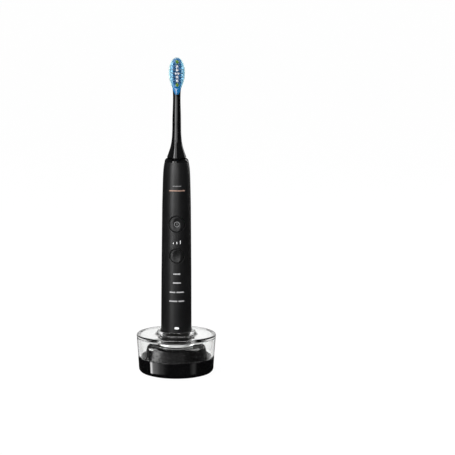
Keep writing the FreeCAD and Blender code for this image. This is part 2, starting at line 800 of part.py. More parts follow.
def circuit_board(radius, screw_heights):
    """Board along the frame's flat front, as wide as the frame is there."""
    half = math.sqrt(radius ** 2 - board_front ** 2)
    board = block((-half, half), (-board_front, -frame_front),
                  (frame_low + board_end_gap, drive_low - board_end_gap))
    holes = [plug(board_screw_radius + fit_gap, -board_front - 1, 0, 0, height) for height in screw_heights]
    save("circuit_board", board.cut(holes))


def board_chips(bay_middle):
    """Parts on the back of the board, inside the frame's bay."""
    chips = []
    for x, rise, width, height, depth in chip_layout:
        middle = bay_middle + rise
        chips.append(block((x - width / 2, x + width / 2), (-frame_front, -frame_front + depth),
                           (middle - height / 2, middle + height / 2)))
    inductor_low = bay_middle - inductor_drop
    chips.append(disc(inductor_radius, inductor_low, inductor_low + inductor_height, 0,
                      -frame_front + inductor_radius))
    save("board_chips", *chips)


def board_parts():
    """The two switches under the buttons and one light behind each window."""
    switches = []
    for height in (power_height, level_height):
        half = switch_width / 2
        body = block((-half, half), (-switch_front, -board_front), (height - half, height + half))
        pocket = plug(plunger_radius + plunger_gap, -switch_front - 1, -switch_front + plunger_length,
                      0, height)
        switches.append(body.cut(pocket))
    lights = []
    half = light_size / 2
    for bars in window_bars(-light_front, -board_front):
        for shape in bars:
            middle = shape.BoundBox.Center
            lights.append(block((middle.x - half, middle.x + half), (-light_front, -board_front),
                                (middle.z - light_height / 2, middle.z + light_height / 2)))
    save("switch_bodies", *switches)
    save("indicator_leds", *lights)


# ---- Drive ----
def drive():
    """Swinging-magnet motor: housing, end plate, stator, coils, bearings, shaft, hub and magnets."""
    radius = room_radius(drive_low, drive_high)
    inner = radius - drive_wall
    plate_low = drive_high - drive_plate
    end_plate_top = drive_low + drive_plate
    skirt_top = end_plate_top + end_plate_skirt
    stator_top = skirt_top + stator_length
    yoke = inner - fit_gap
    yoke_inner = yoke - stator_ring_width
    pole_reach = yoke - stator_ring_width / 2
    pole_face = shaft_radius + hub_wall + magnet_thickness + rotor_gap
    housing = fused([ring(radius, inner, drive_low, drive_high),
                     ring(radius, yoke_inner, stator_top, plate_low),
                     ring(radius, bearing_radius, plate_low, drive_high)])
    end_plate = fused([ring(yoke, bearing_radius, drive_low, end_plate_top),
                       ring(yoke, yoke_inner, drive_low, skirt_top)])
    end_plate = end_plate.cut([disc(drive_screw_radius + thread_gap, drive_low - 1, end_plate_top + 1,
                                    side * drive_screw_offset) for side in (-1, 1)])
    pole_low = skirt_top + pole_end_gap
    pole_high = stator_top - pole_end_gap
    poles = block((-pole_reach, pole_reach), (-pole_half_width, pole_half_width), (pole_low, pole_high))
    stator = fused([ring(yoke, yoke_inner, skirt_top, stator_top),
                    poles.cut(disc(pole_face, pole_low - 1, pole_high + 1))])
    coil_half = pole_half_width + stator_coil_width
    coil_near = pole_face + rotor_gap
    coil = block((coil_near, coil_near + stator_coil_depth), (-coil_half, coil_half),
                 (pole_low - stator_coil_width, pole_high + stator_coil_width))
    coil = coil.cut(block((0, yoke), (-pole_half_width, pole_half_width), (pole_low, pole_high)))
    front_low = drive_high - front_bearing_length
    front_bearing = fused([ring(bearing_radius, bearing_bore, front_low, drive_high),
                           ring(bearing_radius + bearing_flange, bearing_bore,
                                plate_low - bearing_flange, plate_low)])
    rear_bearing = fused([ring(bearing_radius, bearing_bore, drive_low, drive_low + rear_bearing_length),
                          ring(bearing_radius + rear_flange_width, bearing_bore, end_plate_top,
                               end_plate_top + rear_flange_thickness)])
    shaft_low = drive_low + shaft_end_gap
    shaft = disc(shaft_radius, shaft_low, shaft_tip).cut(
        block((-shaft_radius, shaft_radius), (shaft_flat, shaft_radius + 1),
              (shaft_tip - shaft_flat_length, shaft_tip + 1)))
    hub_radius = shaft_radius + hub_wall
    hub = ring(hub_radius, shaft_radius, skirt_top - hub_overhang, stator_top + hub_overhang)
    magnet = ring(hub_radius + magnet_thickness, hub_radius, skirt_top + hub_overhang,
                  stator_top - hub_overhang)
    wedge = Part.makeCylinder(yoke, stator_length, Vector(0, 0, skirt_top), Vector(0, 0, 1), magnet_angle)
    wedge.rotate(Vector(0, 0, 0), Vector(0, 0, 1), -magnet_angle / 2)
    magnet = magnet.common(wedge)
    save("drive_housing", housing)
    save("drive_end_plate", end_plate)
    save("stator_core", stator)
    save("stator_coils", *mirrored(coil))
    save("front_bearing", front_bearing)
    save("rear_bearing", rear_bearing)
    save("drive_shaft", shaft)
    save("rotor_hub", hub)
    save("rotor_magnets", *around(magnet, 2))


# ---- Brush head ----
def stem():
    """Black stem: a trumpet foot that narrows to a thin neck, hollow for the shaft and its clip."""
    middle_rise = (stem_waist_rise + stem_top_rise) / 2
    stations = ((head_foot, head_base_radius),
                (head_foot + trumpet_rises[0], trumpet_radii[0]),
                (head_foot + trumpet_rises[1], trumpet_radii[1]),
                (head_foot + trumpet_rises[2], trumpet_radii[2]),
                (head_foot + stem_waist_rise, stem_waist_radius),
                (head_foot + middle_rise, (stem_waist_radius + stem_top_radius) / 2),
                (head_foot + stem_top_rise, stem_top_radius),
                (stem_top, stem_end_radius))
    clip_low = head_foot + clip_rise
    clip_high = clip_low + clip_length
    clip_radius = bearing_bore + clip_wall
    body = turned_curve(stations).cut([
        disc(head_hollow_radius, head_foot - 1, head_foot + head_hollow_height),
        disc(bearing_bore + slip_gap, head_foot, clip_low + 1),
        disc(clip_radius, clip_low, clip_high + shaft_tip_gap)])
    tag_outer = head_hollow_radius - fit_gap
    tag_high = head_foot + head_hollow_height
    save("head_stem", body)
    save("head_clip", ring(clip_radius, bearing_bore, clip_low, clip_high))
    save("head_tag", ring(tag_outer, tag_outer - tag_width, tag_high - tag_thickness, tag_high))


def plate_outline(growth, front, depth):
    """The plate's front outline, grown sideways and carried back from y = front over a depth.

    Two curved flanks rise from the foot and end in half an ellipse.
    """
    flank = ((plate_foot_half + growth / 2, plate_foot),
             (plate_flare_half + growth, plate_foot + plate_flare_rise),
             (plate_shoulder_half + growth, plate_foot + plate_shoulder_rise),
             (plate_radius + growth, plate_middle))
    right = Part.BSplineCurve()
    right.interpolate([Vector(x, front, z) for x, z in flank])
    left = Part.BSplineCurve()
    left.interpolate([Vector(-x, front, z) for x, z in reversed(flank)])
    top = plate_middle + plate_crown + rim_crown * growth / rim_width
    ellipse = Part.Ellipse(Vector(0, front, top), Vector(plate_radius + growth, front, plate_middle),
                           Vector(0, front, plate_middle))
    crown = Part.ArcOfEllipse(ellipse, -math.pi / 2, math.pi / 2)
    foot = Part.LineSegment(left.EndPoint, right.StartPoint)
    edges = [curve.toShape() for curve in (right, crown, left, foot)]
    face = Part.Face(Part.Wire(Part.sortEdges(edges)[0]))
    return face.extrude(Vector(0, depth, 0))


def oval_neck():
    """Neck that turns from the stem's round end into the flat plate."""
    rings = ((stem_top, stem_end_radius, stem_end_radius),
             (plate_foot, plate_foot_half, neck_half_depth),
             (plate_foot + neck_blend_rise, neck_blend_half, plate_back - fit_gap))
    sections = []
    for height, across, deep in rings:
        oval = Part.Ellipse(Vector(across, 0, height), Vector(0, deep, height), Vector(0, 0, height))
        sections.append(Part.Wire(oval.toShape()))
    return Part.makeLoft(sections, True, False)


def brush_plate():
    """Blue plate and neck, with the clear soft rim and the soft walls along both sides."""
    slab = plate_outline(0, -plate_front, plate_front + plate_back)
    back_edges = [edge for edge in slab.Edges
                  if all(abs(vertex.Point.y - plate_back) < 0.01 for vertex in edge.Vertexes)]
    slab = slab.makeFillet(plate_edge_round, back_edges)
    neck = oval_neck()
    room_for_bristles = block((-beyond, beyond), (-beyond, -plate_front),
                              (plate_foot + plate_face_rise, head_top + beyond))
    save("head_plate", fused([slab, neck.cut(room_for_bristles)]))
    rim_front = -plate_front - rim_proud
    rim_back = plate_back - plate_edge_round - rim_back_gap
    rim = plate_outline(rim_width, rim_front, rim_back - rim_front)
    rim = rim.cut(plate_outline(0, -beyond, 2 * beyond)).cut(neck)
    wall_front = -plate_front - soft_wall_height
    walls = plate_outline(rim_width, wall_front, soft_wall_height)
    walls = walls.cut(plate_outline(rim_width - soft_wall_width, -beyond, 2 * beyond))
    walls = walls.common(block((-beyond, beyond), (wall_front, -plate_front),
                               (plate_middle - soft_wall_drop, plate_middle + soft_wall_rise)))
    save("head_rim", fused([rim] + walls.Solids))


def tuft(x, z, radius, length):
    """One tuft of bristles standing on the plate."""
    return plug(radius, -plate_front - length, -plate_front, x, z)


def tufts():
    """Bristle groups: white middle, blue and light-blue columns, green clusters at both ends."""
    middle_rises = [step * tuft_pitch for step in white_steps]
    white = [tuft(0, plate_middle + rise, white_tuft_radius, white_tuft_length) for rise in middle_rises]
    white += [tuft(x, plate_middle - white_pair_drop, tuft_radius, white_tuft_length)
              for x in (-white_pair_offset, white_pair_offset)]
    green = [tuft(0, z, green_tuft_radius, green_tuft_length)
             for z in (plate_middle + green_tuft_rise, plate_middle - green_tuft_drop)]
    blue = [tuft(x, plate_middle + step * tuft_pitch, tuft_radius, blue_tuft_length)
            for x in (-blue_tuft_offset, blue_tuft_offset) for step in blue_steps]
    outer = [tuft(x, plate_middle + step * tuft_pitch, outer_tuft_radius, outer_tuft_length)
             for x in (-outer_tuft_offset, outer_tuft_offset) for step in outer_steps]
    save("tufts_white", *white)
    save("tufts_green", *green)
    save("tufts_blue", *blue)
    save("tufts_light_blue", *outer)


def main():
    os.makedirs("parts", exist_ok=True)
    save("charger_base", charging_base())
    save("charger_dome", charging_dome())
    save("foot_ring", ring(foot_ring_outer, foot_ring_outer - foot_ring_width, 0, foot_ring_height))
    save("base_screws", *base_screws())
    save("cord_gland", cord_gland())
    charger_inside()
    save("clear_stand", clear_stand())
    outer = handle_body(0)
    inner = handle_body(handle_wall)
    save("handle_shell", handle_shell(outer, inner))
    light_windows(outer)
    save("top_collar", top_collar())
    save("shaft_seal", shaft_seal())
    end_cap()
    button("power", power_height, power_cap_radius, power_hole_radius, outer)
    button("level", level_height, level_cap_radius, level_hole_radius, outer)
    save("button_seals", button_seal(power_height, power_cap_radius, power_hole_radius),
         button_seal(level_height, level_cap_radius, level_hole_radius))
    receiver()
    chassis()
    board_parts()
    drive()
    stem()
    brush_plate()
    tufts()


main()
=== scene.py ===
import json
import math

import bpy
import numpy as np
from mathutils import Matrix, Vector


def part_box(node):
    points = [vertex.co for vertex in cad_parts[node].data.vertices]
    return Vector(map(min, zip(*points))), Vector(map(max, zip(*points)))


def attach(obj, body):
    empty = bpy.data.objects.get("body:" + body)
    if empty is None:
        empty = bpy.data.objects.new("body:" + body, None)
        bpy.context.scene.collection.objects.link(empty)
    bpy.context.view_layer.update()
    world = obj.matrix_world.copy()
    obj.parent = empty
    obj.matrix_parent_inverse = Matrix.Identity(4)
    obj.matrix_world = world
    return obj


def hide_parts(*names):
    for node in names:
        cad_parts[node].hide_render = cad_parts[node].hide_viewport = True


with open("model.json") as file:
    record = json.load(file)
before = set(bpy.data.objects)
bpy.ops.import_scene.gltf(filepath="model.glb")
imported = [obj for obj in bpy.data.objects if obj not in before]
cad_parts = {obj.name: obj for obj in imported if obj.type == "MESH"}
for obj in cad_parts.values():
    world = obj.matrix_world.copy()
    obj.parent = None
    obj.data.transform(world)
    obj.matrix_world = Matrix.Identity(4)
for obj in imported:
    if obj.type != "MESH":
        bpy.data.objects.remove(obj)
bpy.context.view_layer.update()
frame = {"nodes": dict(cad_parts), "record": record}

mm = 0.001
rng = np.random.default_rng(11)


# Lowest and highest corner of a CAD node in millimetres
def boxOf(node):
    low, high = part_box(node)
    return np.array(low) / mm, np.array(high) / mm


def newMaterial(name, colour, **sockets):
    material = bpy.data.materials.new(name)
    material.use_nodes = True
    shader = material.node_tree.nodes["Principled BSDF"]
    shader.inputs["Base Color"].default_value = (*colour, 1)
    for socket, value in sockets.items():
        shader.inputs[socket.replace("_", " ")].default_value = value
    return material


# A node of the material or world with its inputs set, linked from other nodes' outputs where one is given
def addNode(owner, kind, inputs=None, **settings):
    tree = owner.node_tree
    node = tree.nodes.new(kind)
    for key, value in settings.items():
        setattr(node, key, value)
    for key, value in (inputs or {}).items():
        if isinstance(value, bpy.types.NodeSocket):
            tree.links.new(value, node.inputs[key])
        else:
            node.inputs[key].default_value = value
    return node


# The piece's own coordinates, stretched by a factor for each axis
def objectCoords(material, stretch=(1, 1, 1)):
    coords = addNode(material, "ShaderNodeTexCoord")
    mapped = addNode(material, "ShaderNodeMapping", {"Vector": coords.outputs["Object"], "Scale": stretch})
    return mapped.outputs["Vector"]


def noise(material, size, detail=3.0, stretch=(1, 1, 1)):
    node = addNode(material, "ShaderNodeTexNoise",
                   {"Vector": objectCoords(material, stretch), "Scale": 1 / (size * mm), "Detail": detail})
    return node.outputs["Fac"]


# Maps a value from one range to another
def remap(owner, value, fromLow, fromHigh, toLow, toHigh):
    node = addNode(owner, "ShaderNodeMapRange", {"Value": value, "From Min": fromLow, "From Max": fromHigh,
                                                 "To Min": toLow, "To Max": toHigh})
    return node.outputs["Result"]


# The result of a product, test or angle of up to three values
def calculated(owner, operation, *values):
    return addNode(owner, "ShaderNodeMath", dict(enumerate(values)), operation=operation).outputs[0]


# Between two colours by a factor: the first at 0 and the second at 1
def blended(owner, factor, first, second, way="MIX"):
    node = addNode(owner, "ShaderNodeMix", {"Factor": factor, "A": first, "B": second},
                   data_type="RGBA", blend_type=way)
    return node.outputs["Result"]


def ramp(owner, value, *stops, easing="LINEAR"):
    node = addNode(owner, "ShaderNodeValToRGB", {"Fac": value})
    node.color_ramp.interpolation = easing
    elements = node.color_ramp.elements
    while len(elements) < len(stops):
        elements.new(0.5)
    for element, (position, colour) in zip(elements, stops):
        element.position = position
        element.color = (*colour, 1)
    return node.outputs["Color"]


# The colour made darker or lighter by a factor
def toned(colour, factor):
    return tuple(min(1.0, channel * factor) for channel in colour)


def linkTo(material, socket, value):
    material.node_tree.links.new(value, material.node_tree.nodes["Principled BSDF"].inputs[socket])


# Fine relief: height in millimetres from a 0 to 1 value
def relief(material, value, height):
    node = addNode(material, "ShaderNodeBump", {"Height": value, "Distance": height * mm, "Strength": 1.0})
    linkTo(material, "Normal", node.outputs["Normal"])


# Polished black plastic: deep black with a faint orange peel and soft wipe marks in the gloss
def glossBlack(name, roughness):
    material = newMaterial(name, (0.0024, 0.0024, 0.0026), Roughness=roughness)
    linkTo(material, "Base Color", ramp(material, noise(material, 9.0), (0.3, (0.0018, 0.0018, 0.002)),
                                        (0.7, (0.003, 0.003, 0.0033))))
    linkTo(material, "Roughness", remap(material, noise(material, 6.0, 5.0, (1, 1, 0.35)), 0.35, 0.7,
                                        roughness * 0.8, roughness * 1.5))
    relief(material, noise(material, 2.2, 1.0), 0.001)
    return material


# Satin black casing: fine spark-eroded grain over a soft sheen
def satinBlack(name, colour, roughness):
    material = newMaterial(name, colour, Roughness=roughness)
    linkTo(material, "Base Color", ramp(material, noise(material, 14.0, 4.0), (0.3, toned(colour, 0.8)),
                                        (0.7, toned(colour, 1.2))))
    linkTo(material, "Roughness", remap(material, noise(material, 0.5, 4.0), 0.3, 0.7,
                                        roughness - 0.03, roughness + 0.04))
    relief(material, noise(material, 0.22, 2.0), 0.006)
    return material


# A moulded or rubber finish: slightly uneven colour and a fine relief
def plainFinish(name, colour, roughness, grain=0.4, height=0.01, **sockets):
    material = newMaterial(name, colour, Roughness=roughness, **sockets)
    linkTo(material, "Base Color", ramp(material, noise(material, grain * 8), (0.3, toned(colour, 0.86)),
                                        (0.7, toned(colour, 1.1))))
    linkTo(material, "Roughness", remap(material, noise(material, grain * 3), 0.3, 0.7,
                                        roughness * 0.85, min(1.0, roughness * 1.15)))
    relief(material, noise(material, grain), height)
    return material


# Turned or drawn metal: fine rings across the axis
def turnedMetal(name, colour, roughness, pitch=0.12):
    material = newMaterial(name, colour, Roughness=roughness, Metallic=1.0)
    rings = noise(material, pitch, 2.0, (0.03, 0.03, 1))
    linkTo(material, "Roughness", remap(material, rings, 0.3, 0.7, roughness * 0.7, roughness * 1.3))
    relief(material, rings, 0.002)
    return material


# Wound wire: round turns side by side along Z, their colour darkened in the grooves between them as painted shade
def woundWire(name, colour, pitch):
    material = newMaterial(name, colour, Roughness=0.32, Metallic=0.85)
    # a wave of scale 1 repeats every 2 pi / 20 metres
    turns = addNode(material, "ShaderNodeTexWave",
                    {"Vector": objectCoords(material), "Scale": 2 * math.pi / 20 / (pitch * mm)},
                    wave_type="BANDS", bands_direction="Z").outputs["Fac"]
    # painted shade: the colour darkens in the grooves between the turns, on top of the relief
    linkTo(material, "Base Color", ramp(material, turns, (0.1, toned(colour, 0.35)), (0.6, colour)))
    relief(material, turns, 0.05)
    return material


# Solder mask with a lighter copper pattern below it
def boardFinish(name, colour):
    material = newMaterial(name, colour, Roughness=0.35, Coat_Weight=0.4, Coat_Roughness=0.15)
    cells = addNode(material, "ShaderNodeTexBrick",
                    {"Vector": objectCoords(material), "Scale": 420.0, "Mortar Size": 0.03,
                     "Color1": (*colour, 1), "Color2": (*colour, 1), "Mortar": (*toned(colour, 1.7), 1)})
    linkTo(material, "Base Color", cells.outputs["Color"])
    relief(material, cells.outputs["Fac"], 0.01)
    return material


print("materials")
finishes = {
    "gloss_black": glossBlack("polishedBlack", 0.07),
    "satin_black": satinBlack("satinBlackCasing", (0.0062, 0.0062, 0.0068), 0.37),
    "black_rubber": plainFinish("blackRubber", (0.006, 0.006, 0.0065), 0.75),
    "steel": turnedMetal("brightSteel", (0.62, 0.61, 0.6), 0.22),
    "core_steel": turnedMetal("darkSheetSteel", (0.28, 0.28, 0.29), 0.42, 0.35),
    "magnet_nickel": turnedMetal("nickelPlate", (0.66, 0.63, 0.56), 0.18),
    "bronze": plainFinish("sinteredBronze", (0.5, 0.34, 0.17), 0.45, 0.12, 0.01, Metallic=0.9),
    "copper_wire": woundWire("copperWire", (0.62, 0.28, 0.12), 0.25),
    "ferrite": plainFinish("greyFerrite", (0.05, 0.05, 0.055), 0.6, 0.15, 0.02),
    "former_plastic": plainFinish("naturalPlastic", (0.72, 0.71, 0.66), 0.45),
    "battery_can": plainFinish("batterySleeve", (0.06, 0.2, 0.46), 0.28, 0.8, 0.006, Coat_Weight=0.5),
    "circuit_board": boardFinish("solderMask", (0.02, 0.15, 0.06)),
    "electronic_parts": plainFinish("mouldedParts", (0.035, 0.035, 0.04), 0.5, 0.15),
}

# Light windows: milky with a faint glow of their own, and a plain darker one for the lower marks
windowGlow = newMaterial("lightWindow", (0.86, 0.87, 0.88), Roughness=0.35, Emission_Strength=0.25,
                         Emission_Color=(1, 1, 1, 1))
linkTo(windowGlow, "Base Color", ramp(windowGlow, noise(windowGlow, 0.5), (0.2, (0.8, 0.81, 0.83)),
                                      (0.8, (0.9, 0.9, 0.91))))
relief(windowGlow, noise(windowGlow, 0.15), 0.003)
finishes["light_window"] = windowGlow
windowDim = plainFinish("dimWindow", (0.43, 0.43, 0.44), 0.35, 0.3, 0.003)

# Clear holder: water-clear acrylic with a trace of moulding flow in its gloss
clearAcrylic = newMaterial("clearAcrylic", (0.985, 0.99, 0.985), Roughness=0.015, IOR=1.49,
                           Transmission_Weight=1.0)
linkTo(clearAcrylic, "Roughness", remap(clearAcrylic, noise(clearAcrylic, 12.0, 2.0), 0.35, 0.7, 0.008, 0.03))
relief(clearAcrylic, noise(clearAcrylic, 16.0, 1.0), 0.003)
finishes["clear_plastic"] = clearAcrylic


# Widths and heights in millimetres
plateLook = {
    "dark": (0.01, 0.16, 0.4), "paintedLitBlue": (0.36, 0.76, 1.0), "paintedLightFrom": 2.8, "paintedLightTo": 4.4,
    "black": (0.005, 0.005, 0.006, 1), "lineDrop": 1.3, "climb": 3.5, "climbFrom": 1.5, "climbTo": 3.4,
    "lineBlur": 0.06,
}


# Blue plate: dark middle, paler towards the sides (by |x|) as painted light for light through the thinner
# translucent sides, and black below a line that starts level in the middle and climbs towards both sides of the neck
def bluePlate(name, look, foot):
    material = newMaterial(name, look["dark"], Roughness=0.22, Transmission_Weight=0.55, IOR=1.46)
    axes = addNode(material, "ShaderNodeSeparateXYZ", {"Vector": objectCoords(material)}).outputs
    side = calculated(material, "ABSOLUTE", axes["X"])
    # painted light: the blue turns paler towards the sides, for light shining through the thinner edges
    paintedLightShare = remap(material, side, look["paintedLightFrom"] * mm, look["paintedLightTo"] * mm, 0, 1)
    blue = ramp(material, paintedLightShare, (0.0, look["dark"]), (1.0, look["paintedLitBlue"]))
    lineLow = foot - look["lineDrop"]
    line = remap(material, side, look["climbFrom"] * mm, look["climbTo"] * mm,
                 lineLow * mm, (lineLow + look["climb"]) * mm)
    above = calculated(material, "SUBTRACT", axes["Z"], line)
    shown = remap(material, above, -look["lineBlur"] * mm, look["lineBlur"] * mm, 0, 1)
    cloud = ramp(material, noise(material, 3.0), (0.3, (0.85, 0.85, 0.85)), (0.7, (1, 1, 1)))
    clouded = blended(material, 1.0, blue, cloud, "MULTIPLY")
    linkTo(material, "Base Color", blended(material, shown, look["black"], clouded))
    relief(material, noise(material, 0.6), 0.004)
    return material


# Nylon filaments: each has its own tone between two colours, from the attribute that its tuft wrote
def nylon(name, low, high, roughness=0.32):
    material = newMaterial(name, high, Roughness=roughness)
    tone = addNode(material, "ShaderNodeAttribute", attribute_name="tone").outputs["Fac"]
    linkTo(material, "Base Color", ramp(material, tone, (0.0, low), (1.0, high)))
    relief(material, noise(material, 0.08, 1.0, (1, 0.1, 1)), 0.002)
    return material


finishes["blue_plastic"] = bluePlate("bluePlate", plateLook, boxOf("head_plate")[0][2])
finishes["soft_clear_blue"] = plainFinish("softClearBlue", (0.66, 0.92, 1.0), 0.2, 0.5, 0.004,
                                          Transmission_Weight=0.45, IOR=1.42)
finishes["white_bristle"] = nylon("whiteNylon", (0.72, 0.74, 0.78), (0.93, 0.94, 0.96))
finishes["green_bristle"] = nylon("greenNylon", (0.10, 0.24, 0.03), (0.25, 0.42, 0.07))
finishes["blue_bristle"] = nylon("darkBlueNylon", (0.006, 0.07, 0.19), (0.012, 0.14, 0.33))
finishes["light_blue_bristle"] = nylon("lightBlueNylon", (0.34, 0.7, 0.97), (0.5, 0.85, 1.0))

for part in frame["record"]["subparts"]:
    node = frame["nodes"][part["node"]]
    if part["material_slot"] in finishes:
        node.data.materials.clear()
        node.data.materials.append(finishes[part["material_slot"]])


# Vertex numbers of the quads between neighbouring points of a grid stored row by row
def gridFaces(rows, columns, wrapRows=False, wrapColumns=True):
    row = np.arange(rows if wrapRows else rows - 1)[:, None]
    column = np.arange(columns if wrapColumns else columns - 1)[None, :]
    nextRow, nextColumn = (row + 1) % rows, (column + 1) % columns
    corners = (row * columns + column, row * columns + nextColumn,
               nextRow * columns + nextColumn, nextRow * columns + column)
    return np.stack([corner.ravel() for corner in corners], 1)


# Triangles between one ring of vertex numbers and a single vertex
def fan(ring, centre):
    return np.stack([ring, np.roll(ring, -1), np.full(len(ring), centre)], 1)


# A tube through rows of points, closed at both ends by a fan to a point there
def cappedTube(grid, ends):
    rows, columns = grid.shape[:2]
    count = rows * columns
    faces = [gridFaces(rows, columns), fan(np.arange(columns), count)[:, ::-1],
             fan(np.arange(count - columns, count), count + 1)]
    return np.concatenate([grid.reshape(-1, 3), ends]), faces


# Six times the volume that the faces enclose: the sum over their triangles of a . (b x c)
def enclosed(points, faces):
    total = 0.0
    for group in faces:
        corners = points[group]
        for step in range(1, group.shape[1] - 1):
            total += np.sum(corners[:, 0] * np.cross(corners[:, step], corners[:, step + 1]))
    return total


# Several closed shells as one set of points and faces, each turned to face outwards
def joined(*shells):
    points, faces, count = [], [], 0
    for shellPoints, shellFaces in shells:
        way = -1 if enclosed(shellPoints, shellFaces) < 0 else 1
        points.append(shellPoints)
        faces += [group[:, ::way] + count for group in shellFaces]
        count += len(shellPoints)
    return np.concatenate(points), faces


# Smooth shading that breaks at edges over the crease angle and stays level on flat faces
def finishShading(piece, crease=38):
    piece.data.set_sharp_from_angle(angle=math.radians(crease))
    normals = piece.modifiers.new("evenShading", "WEIGHTED_NORMAL")
    normals.keep_sharp = True


# Puts a mesh, lamp or camera into the scene
def inScene(name, data):
    thing = bpy.data.objects.new(name, data)
    bpy.context.scene.collection.objects.link(thing)
    return thing


# Makes the object from shells in millimetres
def addPiece(name, shells, body, material, node=None, crease=38):
    points, faces = joined(*shells)
    corners = np.concatenate([group.ravel() for group in faces])
    sizes = np.concatenate([np.full(len(group), group.shape[1]) for group in faces])
    mesh = bpy.data.meshes.new(name)
    mesh.vertices.add(len(points))
    mesh.vertices.foreach_set("co", (points * mm).astype(np.float32).ravel())
    mesh.loops.add(len(corners))
    mesh.loops.foreach_set("vertex_index", corners.astype(np.int32))
    mesh.polygons.add(len(sizes))
    mesh.polygons.foreach_set("loop_start", (np.cumsum(sizes) - sizes).astype(np.int32))
    mesh.polygons.foreach_set("use_smooth", np.ones(len(sizes), bool))
    mesh.update(calc_edges=True)
    mesh.validate()
    mesh.materials.append(material)
    piece = inScene(name, mesh)
    if crease:
        finishShading(piece, crease)
    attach(piece, body)
    if node:
        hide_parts(node)
    return piece


# A piece that takes a CAD node's place, in the finish of the node's slot unless it has its own
def dress(name, shells, body, node, slot, material=None, crease=38):
    return addPiece(name, shells, body, material or finishes[slot], node, crease)


# A line through corners (x, z) or (x, z, radius): a rounded corner is an arc that touches both sides
def roundedPath(corners, closed=False, steps=6):
    spots = np.array([corner[:2] for corner in corners], float)
    path = []
    for index, corner in enumerate(corners):
        here = spots[index]
        if len(corner) == 2 or (not closed and index in (0, len(corners) - 1)):
            path.append(here[None])
            continue
        before = spots[index - 1] - here
        after = spots[(index + 1) % len(corners)] - here
        lengths = np.hypot(*before), np.hypot(*after)
        before, after = before / lengths[0], after / lengths[1]
        halfAngle = math.acos(np.clip(before @ after, -1, 1)) / 2
        neighbours = corners[index - 1], corners[(index + 1) % len(corners)]
        room = [length * (0.49 if len(side) == 3 else 0.999) for length, side in zip(lengths, neighbours)]
        reach = min(corner[2] / math.tan(halfAngle), *room)
        radius = reach * math.tan(halfAngle)
        inward = (before + after) / np.hypot(*(before + after))
        centre = here + inward * radius / math.sin(halfAngle)
        sweep = np.linspace(-1, 1, steps + 1)[:, None] * (math.pi / 2 - halfAngle)
        across = (after - before) / np.hypot(*(after - before))
        path.append(centre + radius * (across * np.sin(sweep) - inward * np.cos(sweep)))
    return np.concatenate(path)


# A profile of (radius, height) carried round Z: x = r cos a, y = r sin a. One that starts and ends
# on the axis is closed by a point there, any other closes on itself.
def spun(profile, columns=192):
    onAxis = profile[0, 0] < 1e-6
    rings = profile[1:-1] if onAxis else profile
    angle = np.linspace(0, 2 * np.pi, columns, endpoint=False)
    grid = np.stack([rings[:, :1] * np.cos(angle), rings[:, :1] * np.sin(angle),
                     np.repeat(rings[:, 1:], columns, 1)], 2)
    if onAxis:
        return cappedTube(grid, np.array([[0, 0, profile[0, 1]], [0, 0, profile[-1, 1]]]))
    return grid.reshape(-1, 3), [gridFaces(len(rings), columns, wrapRows=True)]


# The same from corners (radius, height) or (radius, height, rounding)
def lathe(corners, columns=192, steps=6):
    return spun(roundedPath(corners, closed=corners[0][0] > 0, steps=steps), columns)


# Cubic spline through (x, y): the bends at its points solve the three-term equations
def smoothCurve(x, y, startSlope=None, endSlope=None):
    x, y = np.asarray(x, float), np.asarray(y, float)
    step = np.diff(x)
    rise = np.diff(y) / step
    matrix, right = np.eye(len(x)), np.zeros(len(x))
    inner = np.arange(1, len(x) - 1)
    matrix[inner, inner - 1] = step[:-1]
    matrix[inner, inner] = 2 * (step[:-1] + step[1:])
    matrix[inner, inner + 1] = step[1:]
    right[inner] = 6 * np.diff(rise)
    if startSlope is not None:
        matrix[0, :2] = 2 * step[0], step[0]
        right[0] = 6 * (rise[0] - startSlope)
    if endSlope is not None:
        matrix[-1, -2:] = step[-1], 2 * step[-1]
        right[-1] = 6 * (endSlope - rise[-1])
    bend = np.linalg.solve(matrix, right)

    def at(value):
        part = np.clip(np.searchsorted(x, value) - 1, 0, len(step) - 1)
        along, span = value - x[part], step[part]
        slope = rise[part] - span * (2 * bend[part] + bend[part + 1]) / 6
        growth = (bend[part + 1] - bend[part]) / (6 * span)
        return y[part] + along * (slope + along * (bend[part] / 2 + along * growth))

    return at


# Removes what the shells enclose from the piece, before its shading is evened
def cutAway(piece, *shells):
    points, faces = joined(*shells)
    mesh = bpy.data.meshes.new("cutter")
    mesh.from_pydata((points * mm).tolist(), [], [face for group in faces for face in group.tolist()])
    cutter = inScene("cutter", mesh)
    piece.modifiers.clear()
    cut = piece.modifiers.new("cut", "BOOLEAN")
    cut.operation, cut.solver, cut.object = "DIFFERENCE", "EXACT", cutter
    bpy.context.view_layer.update()
    evaluated = piece.evaluated_get(bpy.context.evaluated_depsgraph_get())
    piece.data = bpy.data.meshes.new_from_object(evaluated)
    piece.modifiers.clear()
    bpy.data.objects.remove(cutter)
    finishShading(piece)


